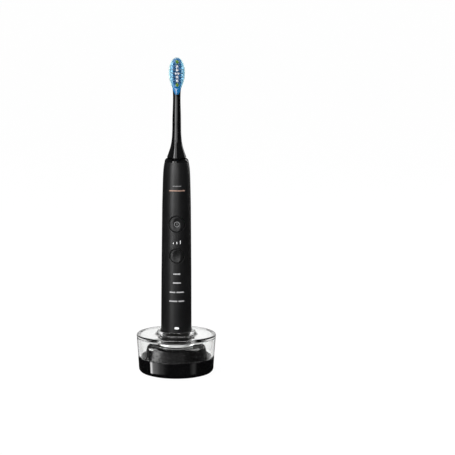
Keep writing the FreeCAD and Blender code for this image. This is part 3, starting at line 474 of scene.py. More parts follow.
print("charger")
baseLow, baseHigh = boxOf("charger_base")
base = {
    "rimRadius": baseHigh[0], "underside": baseLow[2], "rim": baseHigh[2],
    "taper": 0.8, "edgeRound": 4.2, "rimRound": 0.4, "wall": 2.2, "ledgeWidth": 1.3, "ledgeDrop": 2.0,
    "floor": 2.0, "floorRound": 1.2, "grooveInner": 25.3, "grooveOuter": 27.9, "grooveDepth": 1.0,
    "screwCircle": 22.2, "screwAngles": (30, 150, 270), "headHole": 2.8, "postRadius": 3.5,
    "postTop": 6.4, "seat": 4.4, "shankHole": 1.6, "ribInner": 16.4, "ribOuter": 17.8, "ribHeight": 2.4,
}
ledge = base["rim"] - base["ledgeDrop"]
innerRadius = base["rimRadius"] - base["wall"]
baseFloor = base["underside"] + base["floor"]
grooveTop = base["underside"] + base["grooveDepth"]
baseBowl = lathe([
    (0, base["underside"]), (base["grooveInner"], base["underside"]), (base["grooveInner"], grooveTop),
    (base["grooveOuter"], grooveTop), (base["grooveOuter"], base["underside"]),
    (base["rimRadius"] - base["taper"], base["underside"], base["edgeRound"]),
    (base["rimRadius"], base["rim"], base["rimRound"]), (innerRadius, base["rim"]), (innerRadius, ledge),
    (innerRadius - base["ledgeWidth"], ledge), (innerRadius - base["ledgeWidth"], baseFloor, base["floorRound"]),
    (base["ribOuter"], baseFloor), (base["ribOuter"], baseFloor + base["ribHeight"]),
    (base["ribInner"], baseFloor + base["ribHeight"]), (base["ribInner"], baseFloor), (0, baseFloor)], 240, 12)


# A shell moved to the axis at (x, y)
def placed(shell, x=0.0, y=0.0):
    return shell[0] + np.array([x, y, 0]), shell[1]


# A shell laid down: its axis points along Y at a height
def alongY(shell, height):
    points = shell[0]
    return np.stack([points[:, 0], points[:, 2], height + points[:, 1]], 1), shell[1]


def rod(radius, low, high, columns=64):
    return spun(np.array([(0, low), (radius, low), (radius, high), (0, high)], float), columns)


glandLow, glandHigh = boxOf("cord_gland")
gland = {
    "height": (glandLow[2] + glandHigh[2]) / 2, "inner": glandLow[1], "outer": glandHigh[1],
    "neck": 3.0, "collar": 3.9, "bore": 1.7, "flange": 1.9, "innerRound": 0.3, "outerRound": 0.5,
}
chargerBase = dress("chargerBase", [baseBowl], "charger", "charger_base", "gloss_black")
screwSpots = [(base["screwCircle"] * math.cos(turn), base["screwCircle"] * math.sin(turn))
              for turn in map(math.radians, base["screwAngles"])]
headHole = rod(base["headHole"], base["underside"] - 2, baseFloor + 2)
cutAway(chargerBase, *[placed(headHole, x, y) for x, y in screwSpots],
        alongY(rod(gland["neck"], innerRadius - 4, base["rimRadius"] + 4), gland["height"]))

# Posts that the base's screws press on
seat, postTop = base["underside"] + base["seat"], base["underside"] + base["postTop"]
postHole, postFoot = base["headHole"] + 0.03, baseFloor - 0.8      # just outside the hole, sunk in the floor
post = lathe([(postHole, postFoot), (base["postRadius"], postFoot), (base["postRadius"], postTop),
              (base["shankHole"], postTop), (base["shankHole"], seat), (postHole, seat)], 48)
addPiece("screwPosts", [placed(post, x, y) for x, y in screwSpots], "charger", finishes["gloss_black"])

neckFrom, neckTo = gland["inner"] + gland["flange"], gland["outer"] - gland["flange"]
cordBush = lathe([
    (gland["bore"], gland["inner"], gland["innerRound"]), (gland["collar"], gland["inner"], gland["innerRound"]),
    (gland["collar"], neckFrom), (gland["neck"], neckFrom), (gland["neck"], neckTo), (gland["collar"], neckTo),
    (gland["collar"], gland["outer"], gland["outerRound"]),
    (gland["bore"], gland["outer"], gland["outerRound"])], 72)
dress("cordBush", [alongY(cordBush, gland["height"])], "charger", "cord_gland", "black_rubber")

ringLow, ringHigh = boxOf("foot_ring")
footRing = {"inner": 25.4, "outer": ringHigh[0], "low": ringLow[2], "high": ringHigh[2], "round": 0.5}
dress("footRing", [lathe([
    (footRing["inner"], footRing["low"], footRing["round"]), (footRing["outer"], footRing["low"], footRing["round"]),
    (footRing["outer"], footRing["high"]), (footRing["inner"], footRing["high"])], 200)],
    "charger", "foot_ring", "black_rubber")

domeLow, domeHigh = boxOf("charger_dome")
dome = {
    "flangeRadius": domeHigh[0], "foot": domeLow[2], "top": domeHigh[2], "flange": 1.6, "lipOuter": 30.9,
    "lipWidth": 1.1, "lipHeight": 0.9, "footRadius": 29.2, "shoulderRadius": 25.2, "shoulderRound": 4.0,
    "wall": 2.0, "edgeRound": 0.4, "grooveRound": 0.2, "bossHole": 1.55, "bossRadius": 3.45, "bossTop": 18.2,
}
flangeTop, roof = dome["foot"] + dome["flange"], dome["top"] - dome["wall"]
lipTop, lipInner = flangeTop + dome["lipHeight"], dome["lipOuter"] - dome["lipWidth"]
boss = lathe([(dome["bossHole"], postTop), (dome["bossRadius"], postTop), (dome["bossRadius"], dome["bossTop"]),
              (dome["bossHole"], dome["bossTop"])], 48)
domeShell = lathe([
    (0, dome["top"]), (dome["shoulderRadius"], dome["top"], dome["shoulderRound"]),
    (dome["footRadius"], flangeTop, dome["edgeRound"]), (lipInner, flangeTop, dome["grooveRound"]),
    (lipInner, lipTop, dome["edgeRound"]), (dome["lipOuter"], lipTop, dome["edgeRound"]),
    (dome["lipOuter"], flangeTop), (dome["flangeRadius"], flangeTop), (dome["flangeRadius"], dome["foot"]),
    (dome["footRadius"] - dome["wall"], dome["foot"]),
    (dome["shoulderRadius"] - dome["wall"], roof, dome["shoulderRound"] - dome["wall"]), (0, roof)], 240, 12)
dress("chargerDome", [placed(boss, x, y) for x, y in screwSpots] + [domeShell],
      "charger", "charger_dome", "gloss_black")


print("clear holder")
standLow, standHigh = boxOf("clear_stand")
capLow, capHigh = boxOf("end_cap")
stand = {
    "foot": standLow[2] + 0.02, "lipTop": standHigh[2], "rimRadius": standHigh[0],
    "footRadius": base["rimRadius"] - 0.1, "footRound": 0.4, "wall": 2.2, "lipRise": 3.1, "rimRound": 2.2,
    "land": 3.2, "dishDepth": 0.5, "dishRound": 0.25, "plate": 2.3, "innerRound": 1.2, "lipWidth": 2.1,
    "lipRound": 1.0, "flare": 1.9, "wellRadius": capHigh[0] + 0.58, "wellFloor": capLow[2] - 0.03,
    "wellUnder": capLow[2] - 2.7, "wellWall": 1.9, "wellRound": 5.2, "heelRound": 0.5,
}
rim = stand["lipTop"] - stand["lipRise"]
dish = rim - stand["dishDepth"]
plateUnder = dish - stand["plate"]
rimInner = stand["rimRadius"] - stand["land"]
lipOuter = stand["wellRadius"] + stand["lipWidth"]
wellOuter = stand["wellRadius"] + stand["wellWall"]
dress("clearStand", [lathe([
    (0, stand["wellFloor"]), (stand["wellRadius"], stand["wellFloor"], stand["wellRound"]),
    (stand["wellRadius"], stand["lipTop"], stand["lipRound"]), (lipOuter, stand["lipTop"], stand["lipRound"]),
    (lipOuter + stand["flare"], dish, stand["flare"]), (rimInner - stand["dishDepth"], dish, stand["dishRound"]),
    (rimInner, rim, stand["dishRound"]), (stand["rimRadius"], rim, stand["rimRound"]),
    (stand["footRadius"], stand["foot"], stand["footRound"]), (stand["footRadius"] - stand["wall"], stand["foot"]),
    (stand["rimRadius"] - stand["wall"], plateUnder, stand["innerRound"]),
    (wellOuter, plateUnder, stand["innerRound"]), (wellOuter, stand["wellUnder"], stand["heelRound"]),
    (0, stand["wellUnder"])], 300, 12)], "stand", "clear_stand", "clear_plastic")


print("handle")
shellLow, shellHigh = boxOf("handle_shell")
shellTop = shellHigh[2]
handle = {
    "low": shellLow[2], "wall": 1.8, "topWall": 4.3, "sealBore": 6.0, "seam": 0.12,
    # height and radius from the joint up; the last five are joined by a smooth curve
    "heights": (shellLow[2], shellLow[2] + 56.0, shellTop - 42.6, shellTop - 23.3, shellTop - 9.6, shellTop - 3.1,
                shellTop),
    "radii": (shellHigh[0], 13.15, 12.62, 12.2, 11.72, 11.05, 10.45),
}
crest = handle["heights"][2]
crestSlope, topSlope = [(handle["radii"][end] - handle["radii"][end - 1])
                        / (handle["heights"][end] - handle["heights"][end - 1]) for end in (2, 6)]
shoulder = smoothCurve(handle["heights"][2:], handle["radii"][2:], crestSlope, topSlope)


# Outer radius of the handle: straight up to the crest, then a curve into the top
def handleRadius(z):
    return np.where(z <= crest, np.interp(z, handle["heights"], handle["radii"]), shoulder(z))


# Front face of the handle as seen from -Y: y = -sqrt(radius^2 - x^2), sunk by a depth
def frontFace(depth=0.0):
    return lambda x, z: depth - np.sqrt(handleRadius(z) ** 2 - x ** 2)


# A turned wall with round holes bored straight in from the front. The profile of both faces is carried
# round Z. About each hole a block of cells gives way to rings that turn from its square edge into the
# circle, roll over the hole's edge, run in to the inner face and open into the block's edge there.
def piercedWall(heights, outer, inner, over, holes, edge, columns, margin=2.0):
    rows = len(heights)
    profile = np.concatenate([np.stack([outer(heights), heights], 1), over,
                              np.stack([inner(heights), heights], 1)[::-1]])
    turn = (np.arange(columns) - columns // 2) * 2 * np.pi / columns     # 0 at the front
    grid = np.stack([profile[:, :1] * np.sin(turn), -profile[:, :1] * np.cos(turn),
                     np.repeat(profile[:, 1:], columns, 1)], 2)
    points, strips = [grid.reshape(-1, 3)], []
    kept = np.ones((len(profile), columns), bool)
    count = grid.size // 3
    for height, radius in holes:
        reach = radius + margin
        low, high = np.searchsorted(heights, (height - reach, height + reach))
        halfTurn = int(math.asin(reach / outer(height)) / (turn[1] - turn[0])) + 2
        left, right = columns // 2 - halfTurn, columns // 2 + halfTurn
        wide, tall = right - left, high - low
        row = np.concatenate([np.full(wide, low), np.arange(low, high), np.full(wide, high),
                              np.arange(high, low, -1)])
        column = np.concatenate([np.arange(left, right), np.full(tall, right), np.arange(right, left, -1),
                                 np.full(tall, left)])
        kept[low:high, left:right] = False
        kept[len(profile) - 1 - high:len(profile) - 1 - low, left:right] = False
        edgeTurn, edgeHeight = turn[column], heights[row]
        angle = np.arctan2(edgeHeight - height, outer(edgeHeight) * np.sin(edgeTurn))

        def ringAt(face, spread, ringRadius, sink=0.0):
            x, z = ringRadius * np.cos(angle), height + ringRadius * np.sin(angle)
            circleTurn = np.arcsin(x / face(z))
            blendTurn = circleTurn + spread * (edgeTurn - circleTurn)
            z = z + spread * (edgeHeight - z)
            return np.stack([face(z) * np.sin(blendTurn), sink - face(z) * np.cos(blendTurn), z], 1)

        rings = [ringAt(outer, spread, radius + edge) for spread in (0.75, 0.5, 0.28, 0.1, 0.0)]
        rings += [ringAt(outer, 0.0, radius + edge * (1 - math.sin(roll)), edge * (1 - math.cos(roll)))
                  for roll in np.radians((22, 45, 68, 90))]
        rings += [ringAt(inner, spread, radius) for spread in (0.0, 0.4, 0.7)]
        numbers = [row * columns + column]
        numbers += [count + step * len(row) + np.arange(len(row)) for step in range(len(rings))]
        numbers.append((len(profile) - 1 - row) * columns + column)
        strips += [np.stack([first, np.roll(first, -1), np.roll(second, -1), second], 1)
                   for first, second in zip(numbers, numbers[1:])]
        points += rings
        count += len(rings) * len(row)
    quads = gridFaces(len(profile), columns, wrapRows=True)[kept.ravel()]
    return np.concatenate(points), [quads] + strips


buttons = {
    "power": {"height": shellTop - 53.6, "cap": 6.55, "hole": 7.4},
    "level": {"height": shellTop - 81.5, "cap": 5.7, "hole": 6.7},
    "edge": 0.22, "dishDepth": 0.7, "dishSphere": 21.0, "capEdge": 0.75, "stem": 2.0, "stemEnd": -9.9,
    "sealDepth": 1.3, "sealGap": 0.1,
}
wallTop = shellTop - handle["topWall"]
wallHeights = np.linspace(handle["low"] + handle["seam"], wallTop, 150)
crown = np.linspace(wallTop, shellTop, 12)[1:]
overTop = np.concatenate([np.stack([handleRadius(crown), crown], 1),
                          [(handle["sealBore"], shellTop), (handle["sealBore"], wallTop)]])
shellWall = piercedWall(wallHeights, handleRadius, lambda z: handleRadius(z) - handle["wall"], overTop,
                        [(buttons["power"]["height"], buttons["power"]["hole"]),
                         (buttons["level"]["height"], buttons["level"]["hole"])], buttons["edge"], 240)
dress("handleShell", [shellWall], "handle", "handle_shell", "satin_black")

cap = {
    "round": 6.1, "floor": 1.7, "floorRound": 0.8, "spigotGap": 0.1, "spigotWall": 2.5, "spigotRound": 0.4,
    "grooveDepth": 1.7, "grooveHalf": 0.9,
}
capRadius, joint = capHigh[0], handle["low"]
spigot = capRadius - handle["wall"] - cap["spigotGap"]
grooveLow, grooveHigh = [(joint + capHigh[2]) / 2 + side * cap["grooveHalf"] for side in (-1, 1)]
capFloor = capLow[2] + cap["floor"]
dress("endCap", [lathe([
    (0, capLow[2]), (capRadius, capLow[2], cap["round"]), (capRadius, joint - handle["seam"], handle["seam"]),
    (capRadius - handle["seam"], joint), (spigot, joint), (spigot, grooveLow),
    (spigot - cap["grooveDepth"], grooveLow), (spigot - cap["grooveDepth"], grooveHigh), (spigot, grooveHigh),
    (spigot, capHigh[2], cap["spigotRound"]), (spigot - cap["spigotWall"], capHigh[2]),
    (spigot - cap["spigotWall"], capFloor, cap["floorRound"]), (0, capFloor)], 240, 14)],
    "handle", "end_cap", "satin_black")

collarLow, collarHigh = boxOf("top_collar")
sealLow, sealHigh = boxOf("shaft_seal")
collar = {"bore": 3.7, "boreRound": 0.3, "draft": 0.25, "band": 1.3, "bevel": 1.3, "round": 0.45}
dress("topCollar", [lathe([
    (collar["bore"], collarLow[2]), (collarHigh[0], collarLow[2]),
    (collarHigh[0] - collar["draft"], collarLow[2] + collar["band"], collar["round"]),
    (collarHigh[0] - collar["bevel"], collarHigh[2], collar["round"]),
    (collar["bore"], collarHigh[2], collar["boreRound"])])], "handle", "top_collar", "gloss_black")

seal = {"bore": 2.1, "boreRound": 0.3, "nose": 3.6, "noseRound": 0.8}
dress("shaftSeal", [lathe([
    (seal["bore"], sealLow[2]), (handle["sealBore"], sealLow[2]), (handle["sealBore"], shellTop),
    (seal["nose"], shellTop), (seal["nose"], sealHigh[2], seal["noseRound"]),
    (seal["bore"], sealHigh[2], seal["boreRound"])], 96)], "handle", "shaft_seal", "black_rubber")


print("buttons and lights")


# Depth of a face in the middle of a button at the height
def middleDepth(height, depthAt):
    return float(depthAt(np.zeros(1), np.full(1, height))[0])


# Rings about an axis along Y, each a radius and a function of (x, z) that gives y: x = r cos a,
# z = height + r sin a. Ends of radius 0 close on the axis, other stacks close on themselves.
def ringStack(height, rings, columns=96):
    angle = np.linspace(0, 2 * np.pi, columns, endpoint=False)
    closed = rings[0][0] > 0
    shown = rings if closed else rings[1:-1]
    rows = []
    for radius, depthAt in shown:
        x, z = radius * np.cos(angle), height + radius * np.sin(angle)
        rows.append(np.stack([x, depthAt(x, z), z], 1))
    if closed:
        return np.concatenate(rows), [gridFaces(len(shown), columns, wrapRows=True)]
    ends = [[0, middleDepth(height, depthAt), height] for _, depthAt in (rings[0], rings[-1])]
    return cappedTube(np.array(rows), np.array(ends))


# A face at constant y
def flat(y):
    return lambda x, z: np.full_like(x, y)


# The dished front of a button: a hollow of the sphere's radius, or the handle's face where that lies deeper
def dishedFace(height, sink=0.0):
    middle = handleRadius(np.array(height)) - buttons["dishDepth"]
    sphere = buttons["dishSphere"]

    def depthAt(x, z):
        hollow = sphere - np.sqrt(sphere ** 2 - x ** 2 - (z - height) ** 2)
        sunk = -(middle + hollow)
        face = frontFace()(x, z)
        blend = 0.12                                        # softens the crease between the two
        return (sunk + face + np.sqrt((sunk - face) ** 2 + blend ** 2)) / 2 + sink

    return depthAt


def buttonCap(height, radius):
    edge = buttons["edge"]
    under = -(math.sqrt(float(handleRadius(np.array(height))) ** 2 - radius ** 2) - buttons["capEdge"])
    rings = [(share * (radius - edge), dishedFace(height)) for share in np.linspace(0, 1, 22) ** 0.9]
    rings += [(radius - edge * (1 - math.sin(roll)), dishedFace(height, edge * (1 - math.cos(roll))))
              for roll in np.radians((22, 45, 68, 90))]
    rings += [(radius, flat(under)), (buttons["stem"], flat(under)), (buttons["stem"], flat(buttons["stemEnd"])),
              (0, flat(buttons["stemEnd"]))]
    return ringStack(height, rings)


def sealRing(height, inner, outer):
    front, back = frontFace(buttons["sealDepth"]), frontFace(handle["wall"])
    return ringStack(height, [(inner, front), (outer, front), (outer, back), (inner, back)])


for name, body in (("power", "upper_button"), ("level", "lower_button")):
    dress(f"{name}Button", [buttonCap(buttons[name]["height"], buttons[name]["cap"])], body,
          f"{name}_button", "satin_black")
dress("buttonSeals", [sealRing(buttons[name]["height"], buttons[name]["cap"] + buttons["sealGap"],
                               buttons[name]["hole"]) for name in ("power", "level")],
      "handle", "button_seals", "black_rubber")


# A bar with round ends seen from the front: stations along its longer side, closer together towards the
# tips, each half as wide as a circle of the short side allows there. At every station a loop runs from the
# back plane over the rolled edges and the face, which follows a function of (x, z).
def pill(x, z, width, height, faceAt, back, stations=26, rolled=0.03, tipShare=0.02):
    longHalf, shortHalf = max(width, height) / 2, min(width, height) / 2
    turn = np.linspace(0, np.pi / 2, 8)
    tips = longHalf - shortHalf + shortHalf * np.sin(turn)
    straight = np.linspace(shortHalf - longHalf, longHalf - shortHalf, stations)[1:-1]
    along = np.concatenate([-tips[::-1], straight, tips])
    half = np.sqrt(np.clip(shortHalf ** 2 - np.clip(np.abs(along) - longHalf + shortHalf, 0, None) ** 2,
                           (tipShare * shortHalf) ** 2, None))
    across = np.array([-1, -1, -0.9, -0.45, 0, 0.45, 0.9, 1, 1]) * half[:, None]
    along = np.repeat(along[:, None], across.shape[1], 1)
    right, up = (along, across) if width > height else (across, along)
    depth = faceAt(x + right, z + up) + rolled * (np.abs(across) > 0.95 * half[:, None])
    depth[:, (0, -1)] = back
    grid = np.stack([x + right, depth, z + up], 2)
    return cappedTube(grid, [grid[0].mean(0), grid[-1].mean(0)])


lights = {
    "proud": -0.02, "levelPitch": 3.0, "levelWidth": 0.5, "levelHeights": (1.4, 2.1, 3.1),
    "modeDrops": (97.4, 105.3, 113.6, 121.5), "modeRows": ((6.3,), (7.2,), (5.1, 6.6), (7.2, 5.2)),
    "modeHeight": 1.15, "modeGap": 0.8,
}
windowBack = boxOf("level_windows")[1][1]
levelFoot = boxOf("level_windows")[0][2]
chargeLow, chargeHigh = boxOf("charge_window")
onFace = frontFace(lights["proud"])
levelBars = [pill((index - 1) * lights["levelPitch"], levelFoot + tall / 2, lights["levelWidth"], tall,
                  onFace, windowBack) for index, tall in enumerate(lights["levelHeights"])]
modeMarks = []
for drop, widths in zip(lights["modeDrops"], lights["modeRows"]):
    left = -(sum(widths) + lights["modeGap"] * (len(widths) - 1)) / 2
    for width in widths:
        modeMarks.append(pill(left + width / 2, shellTop - drop, width, lights["modeHeight"], onFace, windowBack))
        left += width + lights["modeGap"]
chargeMark = pill(0, (chargeLow[2] + chargeHigh[2]) / 2, chargeHigh[0] - chargeLow[0],
                  chargeHigh[2] - chargeLow[2], onFace, windowBack)
dress("levelLights", levelBars, "handle", "level_windows", "light_window")
dress("modeLights", modeMarks, "handle", "mode_windows", "light_window", windowDim)
dress("chargeLight", [chargeMark], "handle", "charge_window", "light_window")

# Printed marks: an on-off sign on the upper button and two plain bars near the top
greyPrint = plainFinish("greyPrint", (0.2, 0.2, 0.205), 0.4, 0.2, 0.003)
copperPrint = plainFinish("copperPrint", (0.36, 0.23, 0.18), 0.45, 0.2, 0.003, Metallic=0.3)
silverPrint = plainFinish("silverPrint", (0.22, 0.22, 0.225), 0.45, 0.2, 0.003, Metallic=0.3)
marks = {
    "signRadius": 2.45, "signLine": 0.48, "strokeRise": 0.35, "strokeLength": 1.9, "print": -0.015, "sunk": 0.1,
    # drop from the shell's top, width and height
    "bars": {"silverBar": (silverPrint, 20.2, 7.6, 0.8), "copperBar": (copperPrint, 24.2, 13.6, 1.15)},
}
signHeight = buttons["power"]["height"]
signFace, signBack = dishedFace(signHeight, marks["print"]), dishedFace(signHeight, marks["sunk"])
signInner = marks["signRadius"] - marks["signLine"]
signRing = ringStack(signHeight, [(signInner, signFace), (marks["signRadius"], signFace),
                                  (marks["signRadius"], signBack), (signInner, signBack)], 72)
signStroke = pill(0, signHeight + marks["strokeRise"], marks["signLine"], marks["strokeLength"], signFace,
                  middleDepth(signHeight, signBack) + marks["sunk"])
addPiece("onOffSign", [signRing, signStroke], "upper_button", greyPrint)
for name, (material, drop, width, tall) in marks["bars"].items():
    barBack = handle["wall"] * 0.8 - float(handleRadius(np.array(shellTop - drop)))
    addPiece(name, [pill(0, shellTop - drop, width, tall, frontFace(marks["print"]), barBack)], "handle", material)


print("brush head")
shaftLow, shaftHigh = boxOf("drive_shaft")
shaft = {"radius": 2.0, "footRound": 0.1, "tipRound": 0.3, "flatDepth": 1.45, "flatLength": 11.0, "flatRunout": 0.8}


# A turned rod whose front is planed flat over its last stretch: y never passes minus the flat's depth
def planedRod(low, high, sizes, columns=72):
    radius = sizes["radius"]
    profile = roundedPath([(0, low), (radius, low, sizes["footRound"]), (radius, high, sizes["tipRound"]), (0, high)])
    rise, full = high - sizes["flatLength"], high - sizes["flatLength"] + sizes["flatRunout"]
    middle = np.stack([np.full(12, radius), np.linspace(rise - 0.1, full + 0.4, 12)], 1)
    cut = len(profile) // 2
    points, faces = spun(np.concatenate([profile[:cut], middle, profile[cut:]]), columns)
    limit = np.interp(points[:, 2], (rise, full), (-radius, -sizes["flatDepth"]))
    points[:, 1] = np.maximum(points[:, 1], limit)
    return points, faces


dress("driveShaft", [planedRod(shaftLow[2], shaftHigh[2], shaft)], "shaft", "drive_shaft", "steel")

stem = {
    "rises": (0, 3.2, 7.3, 11.5, 17.9, 34.95, 52.0, 56.3), "radii": (8.6, 7.4, 6.0, 4.95, 4.15, 3.725, 3.3, 3.35),
    "footRound": 0.35, "hollow": 6.4, "hollowRound": 0.2, "hollowHeight": 2.4, "bore": 2.35, "clipRadius": 2.8,
    "clipRise": 5.8, "pocketTop": 25.8, "footSlope": -0.5, "topSlope": 0.02,
}
foot = boxOf("head_stem")[0][2]
stemTop = foot + stem["rises"][-1]
flare = smoothCurve(foot + np.array(stem["rises"]), stem["radii"], stem["footSlope"], stem["topSlope"])
# heights closer together where the foot flares
stemHeights = foot + stem["footRound"] + np.linspace(0, 1, 90) ** 1.6 * (stem["rises"][-1] - stem["footRound"])
stemSide = np.stack([flare(stemHeights), stemHeights], 1)[::-1]
hollowTop, clipFoot, pocketTop = [foot + stem[name] for name in ("hollowHeight", "clipRise", "pocketTop")]
footEdge = roundedPath([
    tuple(stemSide[-1]), (float(flare(foot)), foot, stem["footRound"]), (stem["hollow"], foot, stem["hollowRound"]),
    (stem["hollow"], hollowTop), (stem["bore"], hollowTop), (stem["bore"], clipFoot),
    (stem["clipRadius"], clipFoot), (stem["clipRadius"], pocketTop), (0, pocketTop)])
dress("headStem", [spun(np.concatenate([[(0, stemTop)], stemSide, footEdge[1:]]), 144)],
      "head", "head_stem", "gloss_black")

plate = {
    "rises": (4.6, 8.6, 12.9, 18.5), "halves": (3.75, 4.9, 5.9, 6.25), "crown": 12.0, "front": 1.9, "back": 2.2,
    "neckDepths": (3.37, 2.85), "faceDrop": 0.8, "faceRise": 1.6, "blendDrop": 1.0, "blendRise": 5.0,
    "edgeRound": 1.5, "overlap": 1.5, "skin": 0.02, "footSlope": 0.3, "squareness": 3.2, "squareFrom": 1.5,
}
plateFoot, plateMiddle = stemTop + plate["rises"][0], stemTop + plate["rises"][3]
plateTop = plateMiddle + plate["crown"]
sideCurve = smoothCurve(stemTop + np.array(plate["rises"]), plate["halves"], plate["footSlope"], 0.0)


# Smooth step: 3 t^2 - 2 t^3 between two heights
def eased(z, low, high):
    t = np.clip((z - low) / (high - low), 0, 1)
    return t * t * (3 - 2 * t)


# The head's neck and plate: superellipses |x / w|^n + |(y - c) / d|^n = 1 stacked along Z. They start
# as a thin skin round the stem's end and become a flat plate; the crown is half an ellipse in front view.
def plateLoft(columns=120):
    rise = np.linspace(0, np.pi / 2 - 0.02, 34)
    start = stemTop - plate["overlap"]
    z = np.concatenate([np.linspace(start, plateFoot, 14)[:-1], np.linspace(plateFoot, plateMiddle, 34)[:-1],
                        plateMiddle + plate["crown"] * np.sin(rise)])
    neckHalf = np.interp(z, (start, stemTop, plateFoot), (flare(start) + plate["skin"],
                                                          stem["radii"][-1] + plate["skin"], plate["halves"][0]))
    half = np.where(z < plateFoot, neckHalf, sideCurve(np.clip(z, plateFoot, plateMiddle)))
    half = half * np.sqrt(1 - (np.clip(z - plateMiddle, 0, None) / plate["crown"]) ** 2)
    neck = np.interp(z, (start, stemTop, plateFoot), (half[0], *plate["neckDepths"]))
    front = neck + (plate["front"] - neck) * eased(z, plateFoot - plate["faceDrop"], plateFoot + plate["faceRise"])
    back = neck + (plate["back"] - neck) * eased(z, plateFoot - plate["blendDrop"], plateFoot + plate["blendRise"])
    tip = np.clip(1 - (plateTop - z) / plate["edgeRound"], 0, 1)
    back = back - plate["edgeRound"] * (1 - np.sqrt(1 - tip ** 2))
    power = 2 + plate["squareness"] * eased(z, stemTop + plate["squareFrom"], plateFoot + plate["blendRise"])
    angle = np.linspace(0, 2 * np.pi, columns, endpoint=False)
    across, deep = np.cos(angle), np.sin(angle)
    root = 2 / power[:, None]
    x = half[:, None] * np.sign(across) * np.abs(across) ** root
    y = ((back - front) / 2)[:, None] + ((back + front) / 2)[:, None] * np.sign(deep) * np.abs(deep) ** root
    grid = np.stack([x, y, np.repeat(z[:, None], columns, 1)], 2)
    return cappedTube(grid, np.array([[0, 0, start], [0, (back[-1] - front[-1]) / 2, plateTop]]))


# Front view of the rim, left foot to right foot over the crown: two flanks at a half width for each
# height, joined by half an ellipse
def rimLine(z, half, wide, tall, crownSteps):
    turn = np.linspace(0, np.pi, crownSteps)
    crown = np.stack([-wide * np.cos(turn), plateMiddle + tall * np.sin(turn)], 1)
    return np.concatenate([np.stack([-half, z], 1), crown, np.stack([half, z], 1)[::-1]])


# A section (share from the inner to the outer outline, y) carried along both outlines and closed at its ends
def alongOutline(inner, outer, section):
    share, y = section[..., 0], section[..., 1]
    path = inner[:, None] + (outer - inner)[:, None] * share[..., None]
    grid = np.stack([path[..., 0], np.broadcast_to(y, path.shape[:2]), path[..., 1]], 2)
    return cappedTube(grid, [grid[0].mean(0), grid[-1].mean(0)])


rimHigh = boxOf("head_rim")[1]
softRim = {
    "front": 0.4, "backGap": 0.3, "overlap": 0.2, "edgeRound": 0.3, "footWidth": 0.35, "growth": 0.35,
    "growthRise": 4.0, "bevel": 0.25, "bevelShare": 0.1, "bevelRound": 0.1,
    # the walls at both sides; feet and tips as shares from the inner to the outer outline
    "wallHeight": 3.0, "wallFeet": (-0.28, 0.95), "wallTips": (-0.13, 0.9), "tipRound": 0.1, "wallDrop": 8.3,
    "wallRise": 6.1, "wallSunk": 0.3, "endHeight": 0.35, "scallops": 1.6, "scallopDepth": 0.22, "stations": 80,
}
rimFront, rimBack = -plate["front"] - softRim["front"], plate["back"] - plate["edgeRound"] - softRim["backGap"]
rimSection = roundedPath([
    (-softRim["overlap"], rimFront + softRim["bevel"], softRim["bevelRound"]),
    (softRim["bevelShare"], rimFront, softRim["bevel"]), (1, rimFront, softRim["edgeRound"]),
    (1, rimBack, softRim["edgeRound"]), (-softRim["overlap"], rimBack)], closed=True)
flank = np.linspace(plateFoot, plateMiddle, 30)[:-1]
widening = softRim["footWidth"] + softRim["growth"] * np.clip((flank - plateFoot) / softRim["growthRise"], 0, 1)
inner = rimLine(flank, sideCurve(flank), plate["halves"][3], plate["crown"], 90)
outer = rimLine(flank, sideCurve(flank) + widening, rimHigh[0], rimHigh[2] - plateMiddle, 90)
rimShells = [alongOutline(inner, outer, rimSection)]

# Soft walls at both sides: the same outline between two heights. A wall is lower towards its ends, by the
# sixth power of the distance from its middle, and its tips are gently waved.
along = np.linspace(-1, 1, softRim["stations"])
sideHeights = np.linspace(plateMiddle - softRim["wallDrop"], plateMiddle + softRim["wallRise"], softRim["stations"])
ends = np.sqrt(np.clip(1 - np.abs(along) ** 6, 0, 1))
wave = softRim["scallopDepth"] * (1 - np.abs(np.sin(np.pi * (sideHeights - plateMiddle) / softRim["scallops"])))
tall = softRim["wallHeight"] * (softRim["endHeight"] + (1 - softRim["endHeight"]) * ends) - wave
(footInner, footOuter), (tipInner, tipOuter) = softRim["wallFeet"], softRim["wallTips"]
wallOutline = roundedPath([(footInner, 0), (footOuter, 0), (tipOuter, 1, softRim["tipRound"]),
                           (tipInner, 1, softRim["tipRound"])], closed=True)
wallSection = np.stack([np.repeat(wallOutline[None, :, 0], softRim["stations"], 0),
                        softRim["wallSunk"] - plate["front"]
                        - (tall[:, None] + softRim["wallSunk"]) * wallOutline[None, :, 1]], 2)
for side in (-1, 1):
    lines = [np.stack([side * np.abs(np.interp(sideHeights, line[:len(line) // 2, 1], line[:len(line) // 2, 0])),
                       sideHeights], 1) for line in (inner, outer)]
    rimShells.append(alongOutline(*lines, wallSection))
dress("headPlate", [plateLoft()], "head", "head_plate", "blue_plastic")
dress("headRim", rimShells, "head", "head_rim", "soft_clear_blue")


filament = {
    "count": 37, "sides": 6, "packing": 0.98, "root": 0.3, "splay": 0.04, "scatter": 0.035, "shorter": 0.06,
    "uneven": 0.09, "goldenAngle": 2.39996,
    # shares of the length, and of the thickness there
    "along": (0.0, 0.55, 0.965, 0.99, 1.0), "thickness": (1.0, 1.0, 0.95, 0.72, 0.3),
}


